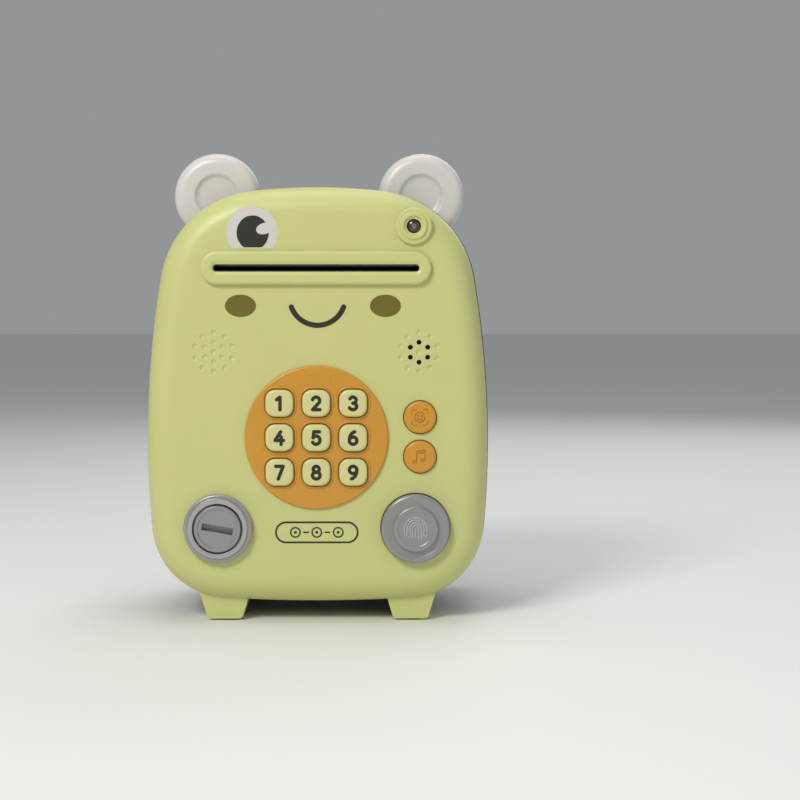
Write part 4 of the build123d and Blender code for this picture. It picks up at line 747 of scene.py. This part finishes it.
brackets = [
    [(sx * 3.1, sz * 1.5), (sx * 3.1, sz * 2.7), (sx * 2.7, sz * 3.1), (sx * 1.5, sz * 3.1)]
    for sx in (-1, 1) for sz in (-1, 1)
]
little_face = [arc(0, 0, 2.0, 2.0, 0, 360, 28), arc(0, -0.1, 1.0, 0.9, 215, 325, 8)]
little_face += [[(sx * 0.75, 0.35), (sx * 0.75, 0.75)] for sx in (-1, 1)]
domed_button("face_scan_cap", face_button_z, brackets + little_face, "face_button")
notes = [[(-1.3, -1.9), (-1.3, 2.1), (2.1, 2.8), (2.1, -1.2)], [(-1.3, 1.1), (2.1, 1.8)]]
note_heads = ((-2.0, -2.1), (1.4, -1.4))
notes += [arc(x, z, 0.75, 0.55, 0, 360, 16) for x, z in note_heads]
domed_button("music_cap", music_button_z, notes, "music_button")

# Key lock: a silver-grey ring with a rounded rim and a deep mouth, screwed to the shell by
# a nut, and a cylinder whose head has the slot for the big toy key.
silver_paint = {"rough": (0.27, 0.30), "grain": 0.04, "tint": 0.025, "metal": 0.35}
silver = moulded("silver_grey_abs", (0.300, 0.292, 0.300), **silver_paint)
# The lock surround's silver has a painted highlight: paler colour along its convex rims, standing
# in for the light they catch.
highlit_silver = moulded("highlit_silver_abs", (0.300, 0.292, 0.300), rim_highlight=0.5, **silver_paint)
mouth_radius, mouth_floor, bore, sleeve, sleeve_back, collar_back = 10.0, -0.8, 7.0, 9.5, 20.0, 6.7
ring = [(knob_radius, on_face), (knob_radius, -2.3)] + rounding(0.9, 12.85, -2.3, 0, -90, 6)[1:]
ring += [(12.3, -3.25), (12.1, -3.35), (12.0, -3.75), (11.75, -4.0), (10.5, -4.0)]
ring += [(10.15, -3.85), (mouth_radius, -3.5), (mouth_radius, mouth_floor), (bore, mouth_floor)]
ring += [(bore, sleeve_back), (sleeve, sleeve_back), (sleeve, collar_back)]
ring += [(lock_collar, collar_back), (lock_collar, on_face)]
bm = bmesh.new()
turned(bm, lock_x, knob_z, ring, loop=True, count=112)
finished(made("lock_surround", bm), highlit_silver, "door", silver_slot, "lock_ring")
barrel, barrel_back, head_back = 6.95, 20.3, -0.95
head = [(0.0, -4.0), (7.4, -4.0), (7.75, -4.1), (7.95, -4.4), (8.5, -4.4)]
head += rounding(0.5, 8.85, -3.9, -70, 0, 5)
head += [(9.35, head_back), (barrel, head_back), (barrel, barrel_back), (0.0, barrel_back)]
bm = bmesh.new()
turned(bm, lock_x, knob_z, head, count=112)
cylinder = made("lock_core", bm)
w, h, slot_lean, slot_floor = 6.3, 1.375, -10, -0.4
corners = [(-w, -h), (w, -h), (w, h), (-w, h)]
bm = bmesh.new()
prism(bm, leaning(corners, lock_x, knob_z, slot_lean), -6.0, slot_floor)
combined(cylinder, made("key_slot", bm), "DIFFERENCE")
bm = bmesh.new()
screw_bore, bore_front, bore_end = 1.3, 12.3, 23.0
hole = [(0.0, bore_front), (screw_bore, bore_front), (screw_bore, bore_end), (0.0, bore_end)]
turned(bm, lock_x, knob_z, hole, count=32)
combined(cylinder, made("screw_bore", bm), "DIFFERENCE")
eased(cylinder, 0.22, angle=50)
finished(cylinder, silver, "lock", silver_slot, "lock_cylinder")

# Fingerprint knob: a big silver-grey push button with two turned-looking steps, and the
# whorl of a fingerprint moulded in relief on its middle.
recess, knob_flange = -5.28, 15.25
knob = [(0.0, recess), (6.5, recess), (6.9, -5.4), (7.1, -5.6), (8.2, -5.6)]
knob += rounding(0.8, 8.25, -4.8, -80, 0, 5) + [(9.05, -4.0), (9.3, -3.75), (11.2, -3.75)]
knob += [(11.5, -3.9), (11.7, -4.0), (12.5, -4.0)] + rounding(1.1, 12.65, -2.9, -80, 0, 6)
knob += [(knob_radius, flange_front), (knob_flange, flange_front), (knob_flange, flange_back)]
knob += [(stem_radius, flange_back), (stem_radius, stem_back), (0.0, stem_back)]
bm = bmesh.new()
turned(bm, fingerprint_x, knob_z, knob, count=128)
press = "fingerprint_button"
finished(made("fingerprint_knob", bm), silver, press, silver_slot, press)
bm = bmesh.new()
ridges = [
    [(0.0, -3.6), (0.1, -1.6), (0.0, 0.0)],
    arc(0, -0.2, 1.25, 1.7, 200, -10, 14) + [(1.35, -2.0), (1.2, -4.2)],
    [(-1.5, -3.9), (-1.25, -2.2), (-1.3, -1.3)],
    arc(0, -0.3, 2.45, 2.9, 215, 0, 18) + [(2.6, -2.2), (2.35, -4.6)],
    [(-2.6, -3.6), (-2.4, -2.4)],
    arc(0, -0.4, 3.65, 4.15, 195, 60, 16),
    arc(0, -0.4, 3.65, 4.15, 45, -15, 8) + [(3.6, -3.2)],
    arc(0, -0.5, 4.85, 5.2, 205, 120, 10),
    arc(0, -0.5, 4.85, 5.2, 105, -5, 16),
    [(-3.7, -3.0), (-3.75, -1.6)],
    [(4.75, -2.6), (4.55, -3.8)],
]
ridge_radius, whorl_scale, whorl_lift = 0.3, 0.93, 0.3
for line in ridges:
    bead(bm, shifted(line, fingerprint_x, knob_z + whorl_lift, whorl_scale), ridge_radius, recess)
# The ridges are painted paler than the knob, a painted highlight standing in for the light the
# raised beads catch.
highlit_ridge_silver = moulded(
    "highlit_ridge_silver_abs", (0.43, 0.43, 0.445), rough=(0.27, 0.30), grain=0.03, tint=0.03, metal=0.2
)
finished(made("fingerprint_ridges", bm), highlit_ridge_silver, press, silver_slot)

# Printed badge below the keypad: a plain round-ended frame in thin black ink, with three
# coins and short dashes in it in place of any wording.
badge_z, half_length, half_height = 36.7, 16.4, 4.05
frame_line, fine_line = 0.75, 0.6
coin_pitch, coin_radius, coin_middle, half_dash = 8.6, 1.9, 0.6, 0.9
right_end = arc(half_length - half_height, badge_z, half_height, half_height, 90, -90, 18)
left_end = arc(half_height - half_length, badge_z, half_height, half_height, -90, -270, 18)
badge = stroke(right_end + left_end[:1], frame_line) + stroke(left_end + right_end[:1], frame_line)
for x in (-coin_pitch, 0.0, coin_pitch):
    for start in (0, 180):
        half_coin = arc(x, badge_z, coin_radius, coin_radius, start, start + 190, 20)
        badge += stroke(half_coin, fine_line)
    badge += [circle(x, badge_z, coin_middle, 20)]
for x in (-coin_pitch / 2, coin_pitch / 2):
    badge += stroke([(x - half_dash, badge_z), (x + half_dash, badge_z)], fine_line)
printed("badge", badge, -0.04, ink_black, "door", green_slot)

# Rear case: the strong box, a deep shell in dark green ABS, a little larger than the door,
# with a coin slot in its roof, its own runner feet, ear bosses, hinge lugs and bolt keeper.
dark_green = moulded("dark_green_abs", (0.036, 0.060, 0.022), rough=(0.3, 0.42), tint=0.08)
bm = bmesh.new()
bm.from_mesh(nodes["rear_case"].data)
bmesh.ops.remove_doubles(bm, verts=bm.verts[:], dist=2e-6)
flat = math.radians(0.6)
bmesh.ops.dissolve_limit(bm, angle_limit=flat, verts=bm.verts[:], edges=bm.edges[:])
mesh = bpy.data.meshes.new("strong_box")
bm.to_mesh(mesh)
bm.free()
finished(placed("strong_box", mesh), dark_green, "case", "dark_green_plastic", "rear_case")

# Ears: two round white caps with soft rims and a dished front, each held by one screw
# from inside the case.
white_abs = moulded("white_abs", (0.64, 0.62, 0.60), rough=(0.26, 0.38), glow=0.12, tint=0.02)
ear_x, ear_z, ear_back, soft_rim, rim_centre = 42.3, 173.2, 35.5, 4.49, 13.3
rim = [(0.0, 26.1), (6.5, 26.1), (7.6, 25.9), (8.4, 25.4), (9.0, 24.8), (9.6, 24.52)]
rim += rounding(soft_rim, rim_centre, 29.0, -90, 0, 10)
rim += rounding(soft_rim, rim_centre, 31.0, 0, 90, 10) + [(0.0, ear_back)]
for side, word in ((-1, "left"), (1, "right")):
    bm = bmesh.new()
    turned(bm, side * ear_x, ear_z, rim, count=128)
    ear = made(f"{word}_ear_cap", bm)
    bm = bmesh.new()
    case_grow = 1.02
    joined_rings(bm, body_rings([(case_grow, 19.0), (case_grow, 45.0)]))
    combined(ear, made("seat", bm), "DIFFERENCE")
    finished(ear, white_abs, "case", "white_plastic", f"{word}_ear")

# The parts behind the face keep their shapes from the frame and take their real finishes.
zinc = moulded("zinc_plate", (0.62, 0.63, 0.60), rough=(0.2, 0.4), grain=0.1, tint=0.05, metal=1.0)
grey = moulded("grey_abs", (0.09, 0.10, 0.095), rough=(0.4, 0.55), grain=0.15, tint=0.06)
nylon = moulded("natural_nylon", (0.62, 0.60, 0.50), rough=(0.38, 0.5), glow=0.2, tint=0.03)
rubber = moulded("black_rubber", (0.018, 0.018, 0.018), rough=(0.62, 0.8), grain=0.3, tint=0.2)
board = moulded("solder_mask", (0.018, 0.085, 0.026), rough=(0.25, 0.5), grain=0.2, tint=0.3)
paper = moulded("speaker_paper", (0.012, 0.012, 0.012), rough=(0.7, 0.85), grain=0.5, tint=0.2)
jacket = moulded("cell_jacket", (0.02, 0.028, 0.045), rough=(0.18, 0.28), tint=0.1, coat=0.4)
film = moulded("cable_film", (0.62, 0.62, 0.58), rough=(0.3, 0.4), tint=0.03)
finishes = {
    "dark_green_plastic": dark_green,
    "bright_steel": zinc,
    "grey_plastic": grey,
    "natural_plastic": nylon,
    "black_rubber": rubber,
    "circuit_board": board,
    "speaker_paper": paper,
    "cell_jacket": jacket,
    "cable_film": film,
}
for row in frame["record"]["subparts"]:
    if row["material_slot"] in finishes and row["node"] != "rear_case":
        mesh = nodes[row["node"]].data
        mesh.materials.clear()
        mesh.materials.append(finishes[row["material_slot"]])

# Floor, light and camera: a matt floor, a window-like key light from the upper left, weaker
# lights at the right, above and behind, and a camera a little above the middle of the face.
floor_paint = bpy.data.materials.new("floor_paint")
floor_paint.use_nodes = True
matt = floor_paint.node_tree.nodes["Principled BSDF"]
matt.inputs["Base Color"].default_value = (0.82, 0.82, 0.80, 1)
matt.inputs["Roughness"].default_value = 0.7
bm = bmesh.new()
reach, floor_z = 40.0, -0.0001
for x, y in ((-reach, -reach), (reach, -reach), (reach, reach), (-reach, reach)):
    bm.verts.new((x, y, floor_z))
bm.faces.new(bm.verts[:])
floor = made("floor", bm)
floor.data.materials.append(floor_paint)

bpy.context.scene.view_settings.view_transform = "Standard"
world = bpy.data.worlds.new("studio")
bpy.context.scene.world = world
world.use_nodes = True
sky = world.node_tree.nodes["Background"]
sky.inputs["Color"].default_value = (0.95, 0.97, 1.0, 1)
sky.inputs["Strength"].default_value = 0.31


def softbox(name, place, aim, size, watts, colour=(1.0, 1.0, 1.0)):
    """A square soft light aimed at a point, in metres."""
    lamp_data = bpy.data.lights.new(name, "AREA")
    lamp_data.shape = "SQUARE"
    lamp_data.size = size
    lamp_data.energy = watts
    lamp_data.color = colour
    lamp_object = placed(name, lamp_data)
    lamp_object.location = place
    toward = Vector(aim) - Vector(place)
    lamp_object.rotation_euler = toward.to_track_quat("-Z", "Y").to_euler()


middle = (0.0, 0.0, 0.1)
softbox("key_light", (-0.46, -0.82, 0.80), middle, 0.36, 7.9, (1.0, 0.975, 0.93))
softbox("fill_light", (0.75, -0.75, 0.35), middle, 0.9, 1.2)
softbox("top_light", (0.0, 0.05, 1.1), middle, 0.6, 3.0)
softbox("back_light", (0.4, 0.9, 0.8), middle, 0.8, 3.0)

lens_camera = bpy.data.cameras.new("camera")
camera = placed("camera", lens_camera)
face_y, sensor_mm, width_seen = face_mm * mm, 36.0, 0.320
eye = Vector((0.030, face_y - 0.60, 0.118))
aim = Vector((0.0334, face_y, 0.0899))
lens_camera.sensor_width = sensor_mm
lens_camera.lens = sensor_mm * (aim - eye).length / width_seen
camera.location = eye
camera.rotation_euler = (aim - eye).to_track_quat("-Z", "Y").to_euler()
bpy.context.scene.camera = camera
